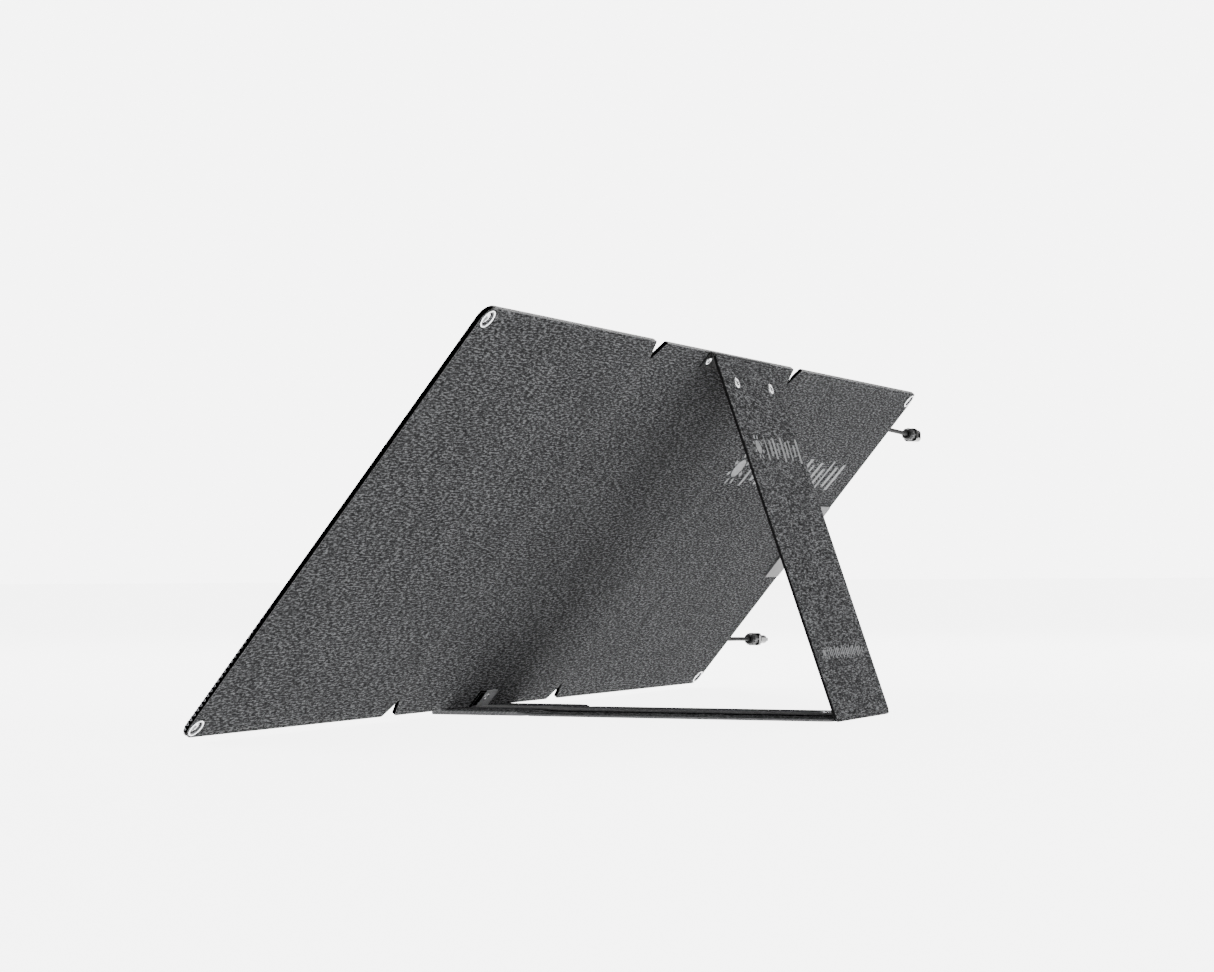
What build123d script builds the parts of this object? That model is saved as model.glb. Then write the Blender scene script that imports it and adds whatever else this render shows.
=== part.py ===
"""Folding camping solar panel, standing open on its fabric-covered kickstand.

Three rigid segments (plain wing, centre, cable wing) are joined by cloth fold webs, so the pack closes like a
book with the cells inside. A leg hinges at the centre's top edge, and a base strip hinges at the leg's foot.

Object frame, millimetres: +Z up, solar side towards -Y, stand towards +Y, plain wing at +X, cable wing at -X.
The origin is on the ground, in the middle of the object's footprint (leads left out).
Panel frame: x as above, v up the slope from the bottom edge, n out of the solar side from the back face.
"""
from build123d import *
import os
from math import asin, atan2, cos, degrees, hypot, radians, sin, tan

# ---- driving dimensions --------------------------------------------------------------------------------
TILT = 50.4                 # slope of the open panel
HEIGHT = 537.0              # panel, along the slope
WING_W = 420.0              # plain wing
CENTRE_W = 425.0
SERVICE_W = 492.0           # cable wing: cells and a strip for the leads
WING_WEB_W = 10.0           # cloth spine that wraps one folded segment
SERVICE_WEB_W = 17.0        # cloth spine that wraps two folded segments
TOTAL_W = WING_W + WING_WEB_W + CENTRE_W + SERVICE_WEB_W + SERVICE_W

CLOTH = 0.8                 # back cloth
CORE = 1.6                  # glass-fibre board
ENCAPSULANT = 1.0           # backsheet and potting under the cells
FILM = 0.8                  # clear front film, with a pocket for each cell
CELL_T = 0.3
RIBBON_T = 0.2
BORDER = 0.8                # front border cloth
THICK = CLOTH + CORE + ENCAPSULANT + FILM + BORDER

CORNER_R = 16.0
NOTCH_HALF = 15.0           # V notch at both ends of each fold
NOTCH_DEPTH = 26.0
SHOULDER_R = 5.0
SIDE_WALL = 1.2             # border cloth round each segment's edge

CELL_W, CELL_H = 182.0, 91.0
CELL_COLUMNS, CELL_ROWS = 2, 5
CELL_GAP = 4.0
CELL_CHAMFER = 6.0
WINDOW_MARGIN = 6.0
SERVICE_STRIP = 66.0

EYELET_INSET = 13.0
EYELET_R, EYELET_BORE_R, EYELET_BARREL_R = 10.0, 5.5, 6.1
EYELET_FLANGE = 0.9
EYELET_CLEAR_R = 13.0

BOX_W, BOX_H, BOX_BASE_H, BOX_LID_H = 46.0, 64.0, 13.6, 3.0
BOX_WALL, BOX_GASKET = 2.2, 1.0
BOX_EDGE_GAP = 10.0         # box to the cable wing's free edge
LEAD_OFFSET = 197.0         # each lead from mid height
LEAD_R = 3.0
LEAD_N = 14.0               # lead axis above the back face
GLAND_LENGTH = 14.0
GLAND_R = 6.2
LEAD_RUNS = (62.0, 63.0)    # two nearly straight runs
LEAD_DROOP = (0.6, 2.6)     # how far each run's end hangs below a straight line

HANDLE_W, HANDLE_H, HANDLE_T, HANDLE_GAP, HANDLE_FOOT = 52.0, 130.0, 3.2, 1.0, 26.0

STAND_X = 22.0              # middle of the leg and the base
STAND_W = 192.0
FOOT_Y_SPAN = 493.0         # panel's bottom edge to the foot
BASE_OVERHANG = 20.0        # base end past the panel's bottom edge
SLEEVE = 0.7                # cloth over the stand's boards
LEG_T, BASE_T, PAD_T = 3.3, 2.5, 5.0
PAD_LENGTH = 127.0
PANEL_LIFT = 5.3            # panel's bottom edge above the ground
HINGE_GAP = 0.3
WEB_REACH = 7.0             # boards stop this far from the foot's hinge line
TOP_AXIS_BEHIND = 2.6       # top hinge line behind the back face
TOP_AXIS_DROP = 0.6         # and below the top edge
LEG_FROM_AXIS = 1.0         # leg's inner face behind the top hinge line
FLAP_H, FLAP_T = 22.0, 1.6
FLAP_SNAP_INSET, FLAP_SNAP_V = 10.0, 526.5
LEG_SNAP_SPACING, LEG_SNAP_FROM_TOP = 112.0, 35.0
SNAP_R, SNAP_T = 6.2, 1.8
SOCKET_R = 8.0
STRAP_X, STRAP_W, STRAP_T = 32.0, 48.0, 1.6
STRAP_FOOT_GAP, STRAP_SNAP_FROM_END = 28.0, 17.0
TAB_H, TAB_SNAP_V = 27.0, 17.3

# ---- positions worked out from them -------------------------------------------------------------------
WING_X1 = TOTAL_W / 2
WING_X0 = WING_X1 - WING_W
CENTRE_X1 = WING_X0 - WING_WEB_W
CENTRE_X0 = CENTRE_X1 - CENTRE_W
SERVICE_X1 = CENTRE_X0 - SERVICE_WEB_W
SERVICE_X0 = SERVICE_X1 - SERVICE_W

DEPTH = FOOT_Y_SPAN + BASE_OVERHANG
FOOT_Y = DEPTH / 2
PANEL_Y = FOOT_Y - FOOT_Y_SPAN
BASE_END_Y = -DEPTH / 2
TILT_R = radians(TILT)

N_CORE = CLOTH
N_POTTING = N_CORE + CORE
N_CELLS = N_POTTING + ENCAPSULANT
N_BORDER = N_CELLS + FILM

panel_plane = Plane(origin=(0, PANEL_Y, PANEL_LIFT), x_dir=(1, 0, 0), z_dir=(0, -sin(TILT_R), cos(TILT_R)))


def panel_point(v, n):
    """(Y, Z) of a point on the panel's side view."""
    return (PANEL_Y + v * cos(TILT_R) - n * sin(TILT_R), PANEL_LIFT + v * sin(TILT_R) + n * cos(TILT_R))


TOP_AXIS = panel_point(HEIGHT - TOP_AXIS_DROP, -TOP_AXIS_BEHIND)
FOOT_AXIS = (FOOT_Y, -HINGE_GAP)
AXIS_SPAN = hypot(TOP_AXIS[0] - FOOT_AXIS[0], TOP_AXIS[1] - FOOT_AXIS[1])
AXIS_OFFSET = LEG_FROM_AXIS + LEG_T + HINGE_GAP
LEG_ANGLE = atan2(TOP_AXIS[1] - FOOT_AXIS[1], TOP_AXIS[0] - FOOT_AXIS[0]) - asin(AXIS_OFFSET / AXIS_SPAN)
LEG_UP = (cos(LEG_ANGLE), sin(LEG_ANGLE))
LEG_IN = (-LEG_UP[1], LEG_UP[0])
LEG_LENGTH = AXIS_SPAN * cos(asin(AXIS_OFFSET / AXIS_SPAN))
LEG_ORIGIN = (FOOT_AXIS[0] + HINGE_GAP * LEG_IN[0], FOOT_AXIS[1] + HINGE_GAP * LEG_IN[1])
leg_plane = Plane(origin=(0, *LEG_ORIGIN), x_dir=(1, 0, 0), z_dir=(0, *LEG_IN))

LEG_CLOSE_DEG = degrees(LEG_ANGLE) - TILT
FOOT_CLOSE_DEG = 180 + degrees(LEG_ANGLE)


def leg_point(w, m):
    """(Y, Z) of a point on the leg's side view: w up the leg, m in from its outer face."""
    return (LEG_ORIGIN[0] + w * LEG_UP[0] + m * LEG_IN[0], LEG_ORIGIN[1] + w * LEG_UP[1] + m * LEG_IN[1])


# ---- helpers ------------------------------------------------------------------------------------------
def slab(x0, x1, v0, v1, n0, n1):
    """Box between two corners of a local frame."""
    return Pos((x0 + x1) / 2, (v0 + v1) / 2, (n0 + n1) / 2) * Box(x1 - x0, v1 - v0, n1 - n0)


def disc(x, v, n0, n1, radius, bore=0.0):
    """Round plate across a local frame's n axis, with an optional hole."""
    body = Pos(x, v, (n0 + n1) / 2) * Cylinder(radius, n1 - n0)
    if bore:
        body -= Pos(x, v, (n0 + n1) / 2) * Cylinder(bore, n1 - n0 + 1)
    return body


def round_slab(x0, x1, v0, v1, n0, n1, radius):
    """Plate with rounded corners."""
    sketch = Pos((x0 + x1) / 2, (v0 + v1) / 2) * RectangleRounded(x1 - x0, v1 - v0, radius)
    return Pos(0, 0, n0) * extrude(sketch, n1 - n0)


def side_band(points, thickness, x0, x1):
    """Strip of even thickness whose middle follows (Y, Z) points, from x0 to x1."""
    left, right = [], []
    for i, (y, z) in enumerate(points):
        before, after = points[max(i - 1, 0)], points[min(i + 1, len(points) - 1)]
        turn_y = [b - a for a, b in zip(before, (y, z))] if i else [b - a for a, b in zip((y, z), after)]
        turn_z = [b - a for a, b in zip((y, z), after)] if i < len(points) - 1 else turn_y
        first = Vector(*turn_y).normalized()
        second = Vector(*turn_z).normalized()
        middle = (first + second).normalized()
        reach = thickness / 2 / max(middle.dot(first), 0.3)
        left.append((y - middle.Y * reach, z + middle.X * reach))
        right.append((y + middle.Y * reach, z - middle.X * reach))
    outline = Plane.YZ * make_face(Polyline(*left, *reversed(right), close=True))
    return Pos(x0, 0, 0) * extrude(outline, x1 - x0)


def fuse(shapes):
    """Separate solids kept together as one node."""
    return Compound(children=[s for shape in shapes for s in shape.solids()])


def export(name, shape, plane=None):
    """Moves a local shape into the object frame and writes it."""
    placed = shape.moved(plane.location) if plane else shape
    export_step(placed, f"parts/{name}.step")


# ---- panel segments -----------------------------------------------------------------------------------
def segment_outline(x0, x1, folds):
    """Segment seen square on. folds holds the half width of the web at each side, or None at a free side."""
    points, radii = [], []
    for at_top in (False, True):
        edge = HEIGHT if at_top else 0.0
        down = -1 if at_top else 1
        sides = (x0, x1) if not at_top else (x1, x0)
        for x in sides:
            half = folds[0] if x == x0 else folds[1]
            inward = 1 if x == x0 else -1
            if half is None:
                points.append((x, edge))
                radii.append(CORNER_R)
                continue
            shoulder = (x + inward * (NOTCH_HALF - half), edge)
            flank = (x, edge + down * NOTCH_DEPTH * (1 - half / NOTCH_HALF))
            pair = [flank, shoulder] if (x == x0) != at_top else [shoulder, flank]
            points += pair
            radii += [SHOULDER_R if p == shoulder else 1.0 for p in pair]
    wire = FilletPolyline(*points, radius=radii, close=True)
    return make_face(wire)


def cell_centres(middle_x):
    """Centres of one segment's cells, column by column."""
    step_x, step_v = CELL_W + CELL_GAP, CELL_H + CELL_GAP
    columns = [middle_x + (c - (CELL_COLUMNS - 1) / 2) * step_x for c in range(CELL_COLUMNS)]
    rows = [HEIGHT / 2 + (r - (CELL_ROWS - 1) / 2) * step_v for r in range(CELL_ROWS)]
    return [(x, v) for x in columns for v in rows]


def half_cut_cell(x, v, upper):
    """Half of a pseudo-square cell: the two corners on its outer long side are clipped."""
    half_w, half_h = CELL_W / 2, CELL_H / 2
    sign = 1 if upper else -1
    outline = [(-half_w, -sign * half_h), (half_w, -sign * half_h), (half_w, sign * (half_h - CELL_CHAMFER)),
               (half_w - CELL_CHAMFER, sign * half_h), (CELL_CHAMFER - half_w, sign * half_h),
               (-half_w, sign * (half_h - CELL_CHAMFER))]
    face = make_face(Polyline(*outline, close=True))
    return Pos(x, v, N_CELLS) * extrude(face, CELL_T)


def ribbons(middle_x):
    """Flat ribbons that join the strings: one across each end of the cell block, in the margin."""
    block_h = CELL_ROWS * CELL_H + (CELL_ROWS - 1) * CELL_GAP
    width = CELL_COLUMNS * CELL_W + (CELL_COLUMNS - 1) * CELL_GAP
    ribbon_w, inset = 3.0, 1.2
    out = []
    for sign in (-1, 1):
        v = HEIGHT / 2 + sign * (block_h / 2 + inset + ribbon_w / 2)
        lengths = [(-width / 2 + 8, width / 2 - 8)] if sign > 0 else [(-width / 2 + 8, -6), (6, width / 2 - 8)]
        v0, v1 = v - ribbon_w / 2, v + ribbon_w / 2
        out += [slab(middle_x + a, middle_x + b, v0, v1, N_CELLS, N_CELLS + RIBBON_T) for a, b in lengths]
    return out


def segment(name, x0, x1, folds, middle_x, eyelets):
    """One rigid segment, layer by layer from the back cloth to the front border."""
    outline = segment_outline(x0, x1, folds)
    inner = offset(outline, -SIDE_WALL)
    barrels = [disc(x, v, -1, THICK + 1, EYELET_BARREL_R) for x, v in eyelets]
    clear = [disc(x, v, -1, THICK + 1, EYELET_CLEAR_R) for x, v in eyelets]
    cells = [half_cut_cell(x, v, i % 2 == 0) for i, (x, v) in enumerate(cell_centres(middle_x))]
    strips = ribbons(middle_x)
    window_w = CELL_COLUMNS * CELL_W + (CELL_COLUMNS - 1) * CELL_GAP + 2 * WINDOW_MARGIN
    window_h = CELL_ROWS * CELL_H + (CELL_ROWS - 1) * CELL_GAP + 2 * WINDOW_MARGIN
    window = round_slab(middle_x - window_w / 2, middle_x + window_w / 2, (HEIGHT - window_h) / 2,
                        (HEIGHT + window_h) / 2, N_BORDER - 1, THICK + 1, 4.0)

    cloth = extrude(outline, CLOTH)
    core = Pos(0, 0, N_CORE) * extrude(inner, CORE)
    potting = Pos(0, 0, N_POTTING) * extrude(inner, ENCAPSULANT)
    film = Pos(0, 0, N_CELLS) * extrude(inner, FILM)
    shell = Pos(0, 0, N_CORE) * extrude(outline, THICK - CLOTH)
    shell -= Pos(0, 0, N_CORE) * extrude(inner, N_BORDER - N_CORE)
    pads = [disc(x, v, N_CORE, N_BORDER, EYELET_CLEAR_R) & Pos(0, 0, N_CORE) * extrude(inner, N_BORDER - N_CORE)
            for x, v in eyelets]
    border = shell - window
    for pad in pads:
        border += pad
    for hole in barrels:
        cloth -= hole
        border -= hole
    for hole in clear:
        core -= hole
        potting -= hole
        film -= hole
    for solid in cells + strips:
        film -= solid
    export(f"{name}_back_cloth", cloth, panel_plane)
    export(f"{name}_core_board", core, panel_plane)
    export(f"{name}_encapsulant", potting, panel_plane)
    export(f"{name}_cells", fuse(cells), panel_plane)
    export(f"{name}_ribbons", fuse(strips), panel_plane)
    export(f"{name}_front_film", film, panel_plane)
    export(f"{name}_border", border, panel_plane)


def fold_web(name, x0, x1):
    """Cloth spine between two segments, cut to a V at both ends, with the flat jumpers sewn inside it."""
    middle, half = (x0 + x1) / 2, (x1 - x0) / 2
    rise = NOTCH_DEPTH * half / NOTCH_HALF
    low, high = NOTCH_DEPTH, HEIGHT - NOTCH_DEPTH
    outline = [(x0, low - rise), (middle, low), (x1, low - rise),
               (x1, high + rise), (middle, high), (x0, high + rise)]
    cloth = extrude(make_face(Polyline(*outline, close=True)), CLOTH)
    jumper_w, jumper_t, jumper_at = 12.0, 0.3, 150.0
    n0, n1 = (CLOTH - jumper_t) / 2, (CLOTH + jumper_t) / 2
    jumpers = [slab(x0 + 0.5, x1 - 0.5, v - jumper_w / 2, v + jumper_w / 2, n0, n1)
               for v in (HEIGHT / 2 - jumper_at, HEIGHT / 2 + jumper_at)]
    for jumper in jumpers:
        cloth -= jumper
    export(f"{name}_cloth", cloth, panel_plane)
    export(f"{name}_jumpers", fuse(jumpers), panel_plane)


def eyelet_set(name, eyelets):
    """Two-part eyelets: a flanged barrel from the back and a washer on the front."""
    solids = []
    for x, v in eyelets:
        flange = disc(x, v, -EYELET_FLANGE, 0, EYELET_R)
        flange = fillet(flange.edges().filter_by(GeomType.CIRCLE).group_by(Axis.Z)[0], 0.6)
        barrel = disc(x, v, -EYELET_FLANGE / 2, THICK + EYELET_FLANGE, EYELET_BARREL_R)
        grommet = (flange + barrel) - disc(x, v, -3, THICK + 3, EYELET_BORE_R)
        washer = disc(x, v, THICK, THICK + EYELET_FLANGE, EYELET_R, EYELET_BARREL_R)
        rims = washer.edges().filter_by(GeomType.CIRCLE).group_by(Axis.Z)[-1]
        washer = fillet(rims.sort_by(SortBy.RADIUS)[-1], 0.5)
        solids += [grommet, washer]
    export(name, fuse(solids), panel_plane)


# ---- leads, boxes and handle on the cable wing ---------------------------------------------------------
def junction_box(name, v, parts):
    """Box on the solar side that joins one end of the strings to its lead."""
    x0 = SERVICE_X0 + BOX_EDGE_GAP
    x1 = x0 + BOX_W
    v0, v1 = v - BOX_H / 2, v + BOX_H / 2
    n_top = THICK + BOX_BASE_H
    base = round_slab(x0, x1, v0, v1, THICK, n_top, 4.0)
    base -= slab(x0 + BOX_WALL, x1 - BOX_WALL, v0 + BOX_WALL, v1 - BOX_WALL, THICK + 1.6, n_top + 1)
    corners = [(x, w) for x in (x0 + 5.2, x1 - 5.2) for w in (v0 + 5.2, v1 - 5.2)]
    for x, w in corners:
        base += disc(x, w, THICK + 1.0, n_top, 3.4)
        base -= disc(x, w, THICK + 4.0, n_top + 1, 1.3)
    base -= Pos(x0, v, LEAD_N) * Rot(0, 90, 0) * Cylinder(LEAD_R, 4 * BOX_WALL)
    export(f"{name}_box_base", base, panel_plane)

    gasket = round_slab(x0, x1, v0, v1, n_top, n_top + BOX_GASKET, 4.0)
    gasket -= slab(x0 + BOX_WALL, x1 - BOX_WALL, v0 + BOX_WALL, v1 - BOX_WALL,
                   n_top - 1, n_top + BOX_GASKET + 1)
    lid_n = n_top + BOX_GASKET
    lid = round_slab(x0, x1, v0, v1, lid_n, lid_n + BOX_LID_H, 4.0)
    lid = fillet(lid.edges().group_by(Axis.Z)[-1], 1.2)
    for x, w in corners:
        gasket += disc(x, w, n_top, lid_n, 3.4)
        gasket -= disc(x, w, n_top - 1, lid_n + 1, 1.3)
        lid -= disc(x, w, lid_n - 1, lid_n + BOX_LID_H + 1, 1.3)
        lid -= disc(x, w, lid_n + 1.4, lid_n + BOX_LID_H + 1, 2.8)
        screw = disc(x, w, THICK + 5.0, lid_n + 1.4, 1.25) + disc(x, w, lid_n + 1.4, lid_n + 2.6, 2.5)
        screw -= Pos(x, w, lid_n + 2.6) * Box(0.7, 3.4, 1.4)
        screw -= Pos(x, w, lid_n + 2.6) * Box(3.4, 0.7, 1.4)
        parts["box_screws"].append(screw)
    export(f"{name}_box_lid", lid, panel_plane)
    parts["box_gaskets"].append(gasket)

    floor_n = THICK + 1.6
    clamp_x = (x0 + x1) / 2
    for side in (-1, 1):
        block = slab(clamp_x - 8, clamp_x + 8, v + side * 16 - 5, v + side * 16 + 5, floor_n, floor_n + 4.5)
        block -= slab(clamp_x - 5, clamp_x + 5, v + side * 16 - 2, v + side * 16 + 2, floor_n + 2, floor_n + 5)
        parts["box_terminals"].append(block)
    diode = slab(clamp_x + 3, clamp_x + 9, v - 9, v + 9, floor_n, floor_n + 2.6)
    parts["bypass_diodes"].append(diode)

    hexagon = Pos(0, 0, 0) * extrude(RegularPolygon(GLAND_R + 1.0, 6), 8.0)
    on_base = (Align.CENTER, Align.CENTER, Align.MIN)
    cone = Pos(0, 0, 8.0) * Cone(GLAND_R, LEAD_R + 1.6, GLAND_LENGTH - 8.0, align=on_base)
    gland = (hexagon & Cylinder(GLAND_R + 0.6, 40.0)) + cone
    gland -= Cylinder(LEAD_R, 60.0)
    parts["cable_glands"].append(Pos(x0, v, LEAD_N) * Rot(0, -90, 0) * gland)


def lead_route(v):
    """Route of one lead in the object frame: out of the gland, straight past the edge, with a slight droop."""
    start_y, start_z = panel_point(v, LEAD_N)
    start_x = SERVICE_X0 + BOX_EDGE_GAP - GLAND_LENGTH
    points = [(start_x, start_y, start_z)]
    reach = 0.0
    for run, droop in zip(LEAD_RUNS, LEAD_DROOP):
        reach += run
        points.append((start_x - reach, start_y, start_z - droop))
    return points


def lead(name, v):
    """Round cable along its route. Returns its end and direction there."""
    points = lead_route(v)
    first = Vector(*points[1]) - Vector(*points[0])
    last = Vector(*points[2]) - Vector(*points[1])
    turn = first.get_angle(last)
    radius = 0.45 * min(first.length, last.length) / tan(radians(turn / 2))
    path = FilletPolyline(*points, radius=radius)
    print(f"{name}: arc radius {radius:.0f} mm, length {path.length:.1f} mm")
    section = Plane(origin=points[0], z_dir=path % 0) * Circle(LEAD_R)
    tube = sweep(section, path=path)
    export(name, tube)
    return Plane(origin=points[-1], x_dir=(0, 1, 0), z_dir=path % 1)


def ring_of_ribs(radius, z0, z1, count, depth, width):
    """Grip ribs standing out of a round nut."""
    height = z1 - z0
    rib = Pos(radius, 0, (z0 + z1) / 2) * Box(2 * depth, width, height)
    return [Rot(0, 0, 360 / count * i) * rib for i in range(count)]


def connector_nut(length):
    """Screwed rear nut with grip ribs and a tapered mouth, z along the lead."""
    nut = Cylinder(8.6, length - 4, align=(Align.CENTER, Align.CENTER, Align.MIN))
    nut = Pos(0, 0, 4) * nut + Cone(7.0, 8.6, 4, align=(Align.CENTER, Align.CENTER, Align.MIN))
    for rib in ring_of_ribs(8.3, 5, length, 12, 1.0, 2.0):
        nut += rib
    nut -= Pos(0, 0, -1) * Cylinder(4.3, 6, align=(Align.CENTER, Align.CENTER, Align.MIN))
    nut -= Cylinder(LEAD_R, 4 * length)
    return nut


def plug_connector(plane):
    """Pin connector: long shroud with two latch arms."""
    nut = connector_nut(20)
    collar = Pos(0, 0, 20) * extrude(RectangleRounded(19.0, 19.0, 4.0), 8)
    barrel = Pos(0, 0, 28) * Cylinder(8.2, 12, align=(Align.CENTER, Align.CENTER, Align.MIN))
    nose = Pos(0, 0, 40) * Cylinder(6.4, 22, align=(Align.CENTER, Align.CENTER, Align.MIN))
    body = collar + barrel + nose
    for side in (-1, 1):
        arm = Pos(side * 8.9, 0, 46) * Box(1.6, 5.0, 20) + Pos(side * 8.4, 0, 56) * Box(2.6, 5.0, 3)
        root = Pos(side * 8.0, 0, 34) * Box(3.4, 5.0, 8)
        body = body + arm + root
    body -= Pos(0, 0, 44) * Cylinder(4.6, 30, align=(Align.CENTER, Align.CENTER, Align.MIN))
    body -= Pos(0, 0, 18) * Cylinder(2.0, 40, align=(Align.CENTER, Align.CENTER, Align.MIN))
    contact = Pos(0, 0, 24) * Cylinder(2.0, 34, align=(Align.CENTER, Align.CENTER, Align.MIN))
    export("plug_connector_nut", nut, plane)
    export("plug_connector_body", body, plane)
    export("plug_contact", contact, plane)


def socket_connector(plane):
    """Socket connector: short square-shouldered body with two latch windows and an open mouth."""
    nut = connector_nut(18)
    shoulder = Pos(0, 0, 18) * extrude(RectangleRounded(19.5, 19.5, 5.0), 7)
    shell = Pos(0, 0, 25) * extrude(RectangleRounded(18.0, 18.0, 6.0), 17)
    body = shoulder + shell
    body -= Pos(0, 0, 27) * Cylinder(6.8, 30, align=(Align.CENTER, Align.CENTER, Align.MIN))
    for side in (-1, 1):
        body -= Pos(side * 9.0, 0, 34) * Box(6.0, 6.0, 7.0)
    core = Pos(0, 0, 27) * Cylinder(4.2, 13, align=(Align.CENTER, Align.CENTER, Align.MIN))
    body = body + core
    body -= Pos(0, 0, 17) * Cylinder(2.4, 40, align=(Align.CENTER, Align.CENTER, Align.MIN))
    contact = Pos(0, 0, 22) * Cylinder(2.4, 16, align=(Align.CENTER, Align.CENTER, Align.MIN))
    contact -= Pos(0, 0, 28) * Cylinder(1.6, 16, align=(Align.CENTER, Align.CENTER, Align.MIN))
    export("socket_connector_nut", nut, plane)
    export("socket_connector_body", body, plane)
    export("socket_contact", contact, plane)


def carry_handle():
    """Flat moulded grip on the back of the lead strip, fixed at both ends."""
    x0 = SERVICE_X0 + 8.0
    v0 = HEIGHT / 2 - HANDLE_H / 2
    grip = round_slab(x0, x0 + HANDLE_W, v0, v0 + HANDLE_H, -HANDLE_T, 0, 5.0)
    grip = fillet(grip.edges().group_by(Axis.Z)[0], 0.9)
    grip -= slab(x0 - 1, x0 + HANDLE_W + 1, v0 + HANDLE_FOOT, v0 + HANDLE_H - HANDLE_FOOT, -HANDLE_GAP, 1)
    export("carry_handle", grip, panel_plane)


# ---- stand --------------------------------------------------------------------------------------------
def sleeve_and_board(name, x0, x1, w0, w1, m0, m1, plane=None):
    """Cloth sleeve sewn shut round a stiff board."""
    margin = 4.0
    outer = round_slab(x0, x1, w0, w1, m0, m1, 8.0)
    board = round_slab(x0 + margin, x1 - margin, w0 + margin, w1 - margin, m0 + SLEEVE, m1 - SLEEVE, 5.0)
    export(f"{name}_sleeve", outer - board, plane)
    export(f"{name}_board", board, plane)


def snap_cap(x, v, n0, outward, radius=SNAP_R, height=SNAP_T):
    """Domed press-stud cap with a dimple, standing off a face at n0 in the outward direction (+1 or -1)."""
    low, high = sorted((n0, n0 + outward * height))
    cap = disc(x, v, low, high, radius)
    outer = cap.edges().group_by(Axis.Z)[-1 if outward > 0 else 0]
    cap = fillet(outer, min(0.7, height * 0.4))
    return cap - disc(x, v, *sorted((n0 + outward * height * 0.5, n0 + outward * (height + 1))), radius * 0.35)


def leg():
    """Leg between the top hinge and the foot, with the two studs that hold the base when it is stowed."""
    x0, x1 = STAND_X - STAND_W / 2, STAND_X + STAND_W / 2
    top_w = LEG_LENGTH - 2.0
    sleeve_and_board("leg", x0, x1, WEB_REACH, top_w, 0, LEG_T, leg_plane)
    stud_w = LEG_LENGTH - LEG_SNAP_FROM_TOP
    studs = []
    for side in (-1, 1):
        x = STAND_X + side * LEG_SNAP_SPACING / 2
        studs.append(snap_cap(x, stud_w, 0, -1))
        studs.append(disc(x, stud_w, LEG_T, LEG_T + 0.6, 5.0))
    export("leg_studs", fuse(studs), leg_plane)
    return stud_w


def base(stud_w):
    """Base strip on the ground: thin cloth-covered board, and a thicker end pad under the panel's edge."""
    x0, x1 = STAND_X - STAND_W / 2, STAND_X + STAND_W / 2
    pad_y1 = BASE_END_Y + PAD_LENGTH
    sleeve_and_board("base", x0, x1, pad_y1, FOOT_Y - WEB_REACH, 0, BASE_T)
    pad = round_slab(x0, x1, BASE_END_Y, pad_y1, 0, PAD_T, 8.0)
    bevel_l, bevel_h = 9.0, PAD_T - BASE_T
    pad -= Pos(0, 0, 0) * side_wedge(x0, x1, pad_y1, bevel_l, bevel_h)
    sockets = []
    socket_y = FOOT_AXIS[0] - stud_w
    for side in (-1, 1):
        x = STAND_X + side * LEG_SNAP_SPACING / 2
        pad -= disc(x, socket_y, -1, 2.6, SOCKET_R)
        sockets.append(disc(x, socket_y, 0.7, 2.6, SOCKET_R, SNAP_R + 0.7))
    export("base_end_pad", pad)
    export("base_sockets", fuse(sockets))


def side_wedge(x0, x1, y, length, height):
    """Wedge that bevels the end pad down to the base's thickness."""
    outline = Plane.YZ * make_face(Polyline((y - length, PAD_T), (y + 1, PAD_T - height * (1 + 1 / length)),
                                            (y + 1, PAD_T + 1), (y - length, PAD_T + 1), close=True))
    return Pos(x0 - 1, 0, 0) * extrude(outline, x1 - x0 + 2)


def tie_strap():
    """Strap on top of the base, from the panel's bottom edge to a press stud near the foot."""
    x0, x1 = STRAP_X - STRAP_W / 2, STRAP_X + STRAP_W / 2
    start = PANEL_Y + 4.5
    pad_y1 = BASE_END_Y + PAD_LENGTH
    end = FOOT_Y - STRAP_FOOT_GAP
    stud_t = 1.1
    over_pad, over_base = PAD_T + STRAP_T / 2, BASE_T + stud_t + STRAP_T / 2
    line = [(start, over_pad), (pad_y1 - 8.5, over_pad), (pad_y1 + 14, over_base), (end, over_base)]
    export("tie_strap", side_band(line, STRAP_T, x0, x1))
    snap_y = end - STRAP_SNAP_FROM_END
    top = over_base + STRAP_T / 2
    cap = snap_cap(STRAP_X, snap_y, top, 1, SNAP_R, 1.4)
    post = disc(STRAP_X, snap_y, BASE_T, BASE_T + stud_t, SNAP_R)
    export("strap_studs", fuse([cap, post]))


def centre_fittings():
    """Flap behind the top edge, tab behind the bottom edge, and their press studs."""
    x0, x1 = STAND_X - STAND_W / 2, STAND_X + STAND_W / 2
    flap = round_slab(x0, x1, HEIGHT - FLAP_H, HEIGHT - 1.0, -FLAP_T, 0, 3.0)
    tab = round_slab(STRAP_X - STRAP_W / 2, STRAP_X + STRAP_W / 2, 1.5, TAB_H, -FLAP_T, 0, 3.0)
    export("top_flap", flap, panel_plane)
    export("bottom_tab", tab, panel_plane)
    studs = [snap_cap(x, FLAP_SNAP_V, -FLAP_T, -1, 5.0, 1.2)
             for x in (x0 + FLAP_SNAP_INSET, x1 - FLAP_SNAP_INSET)]
    studs.append(snap_cap(STRAP_X, TAB_SNAP_V, -FLAP_T, -1, 5.0, 1.2))
    export("panel_studs", fuse(studs), panel_plane)


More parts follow.
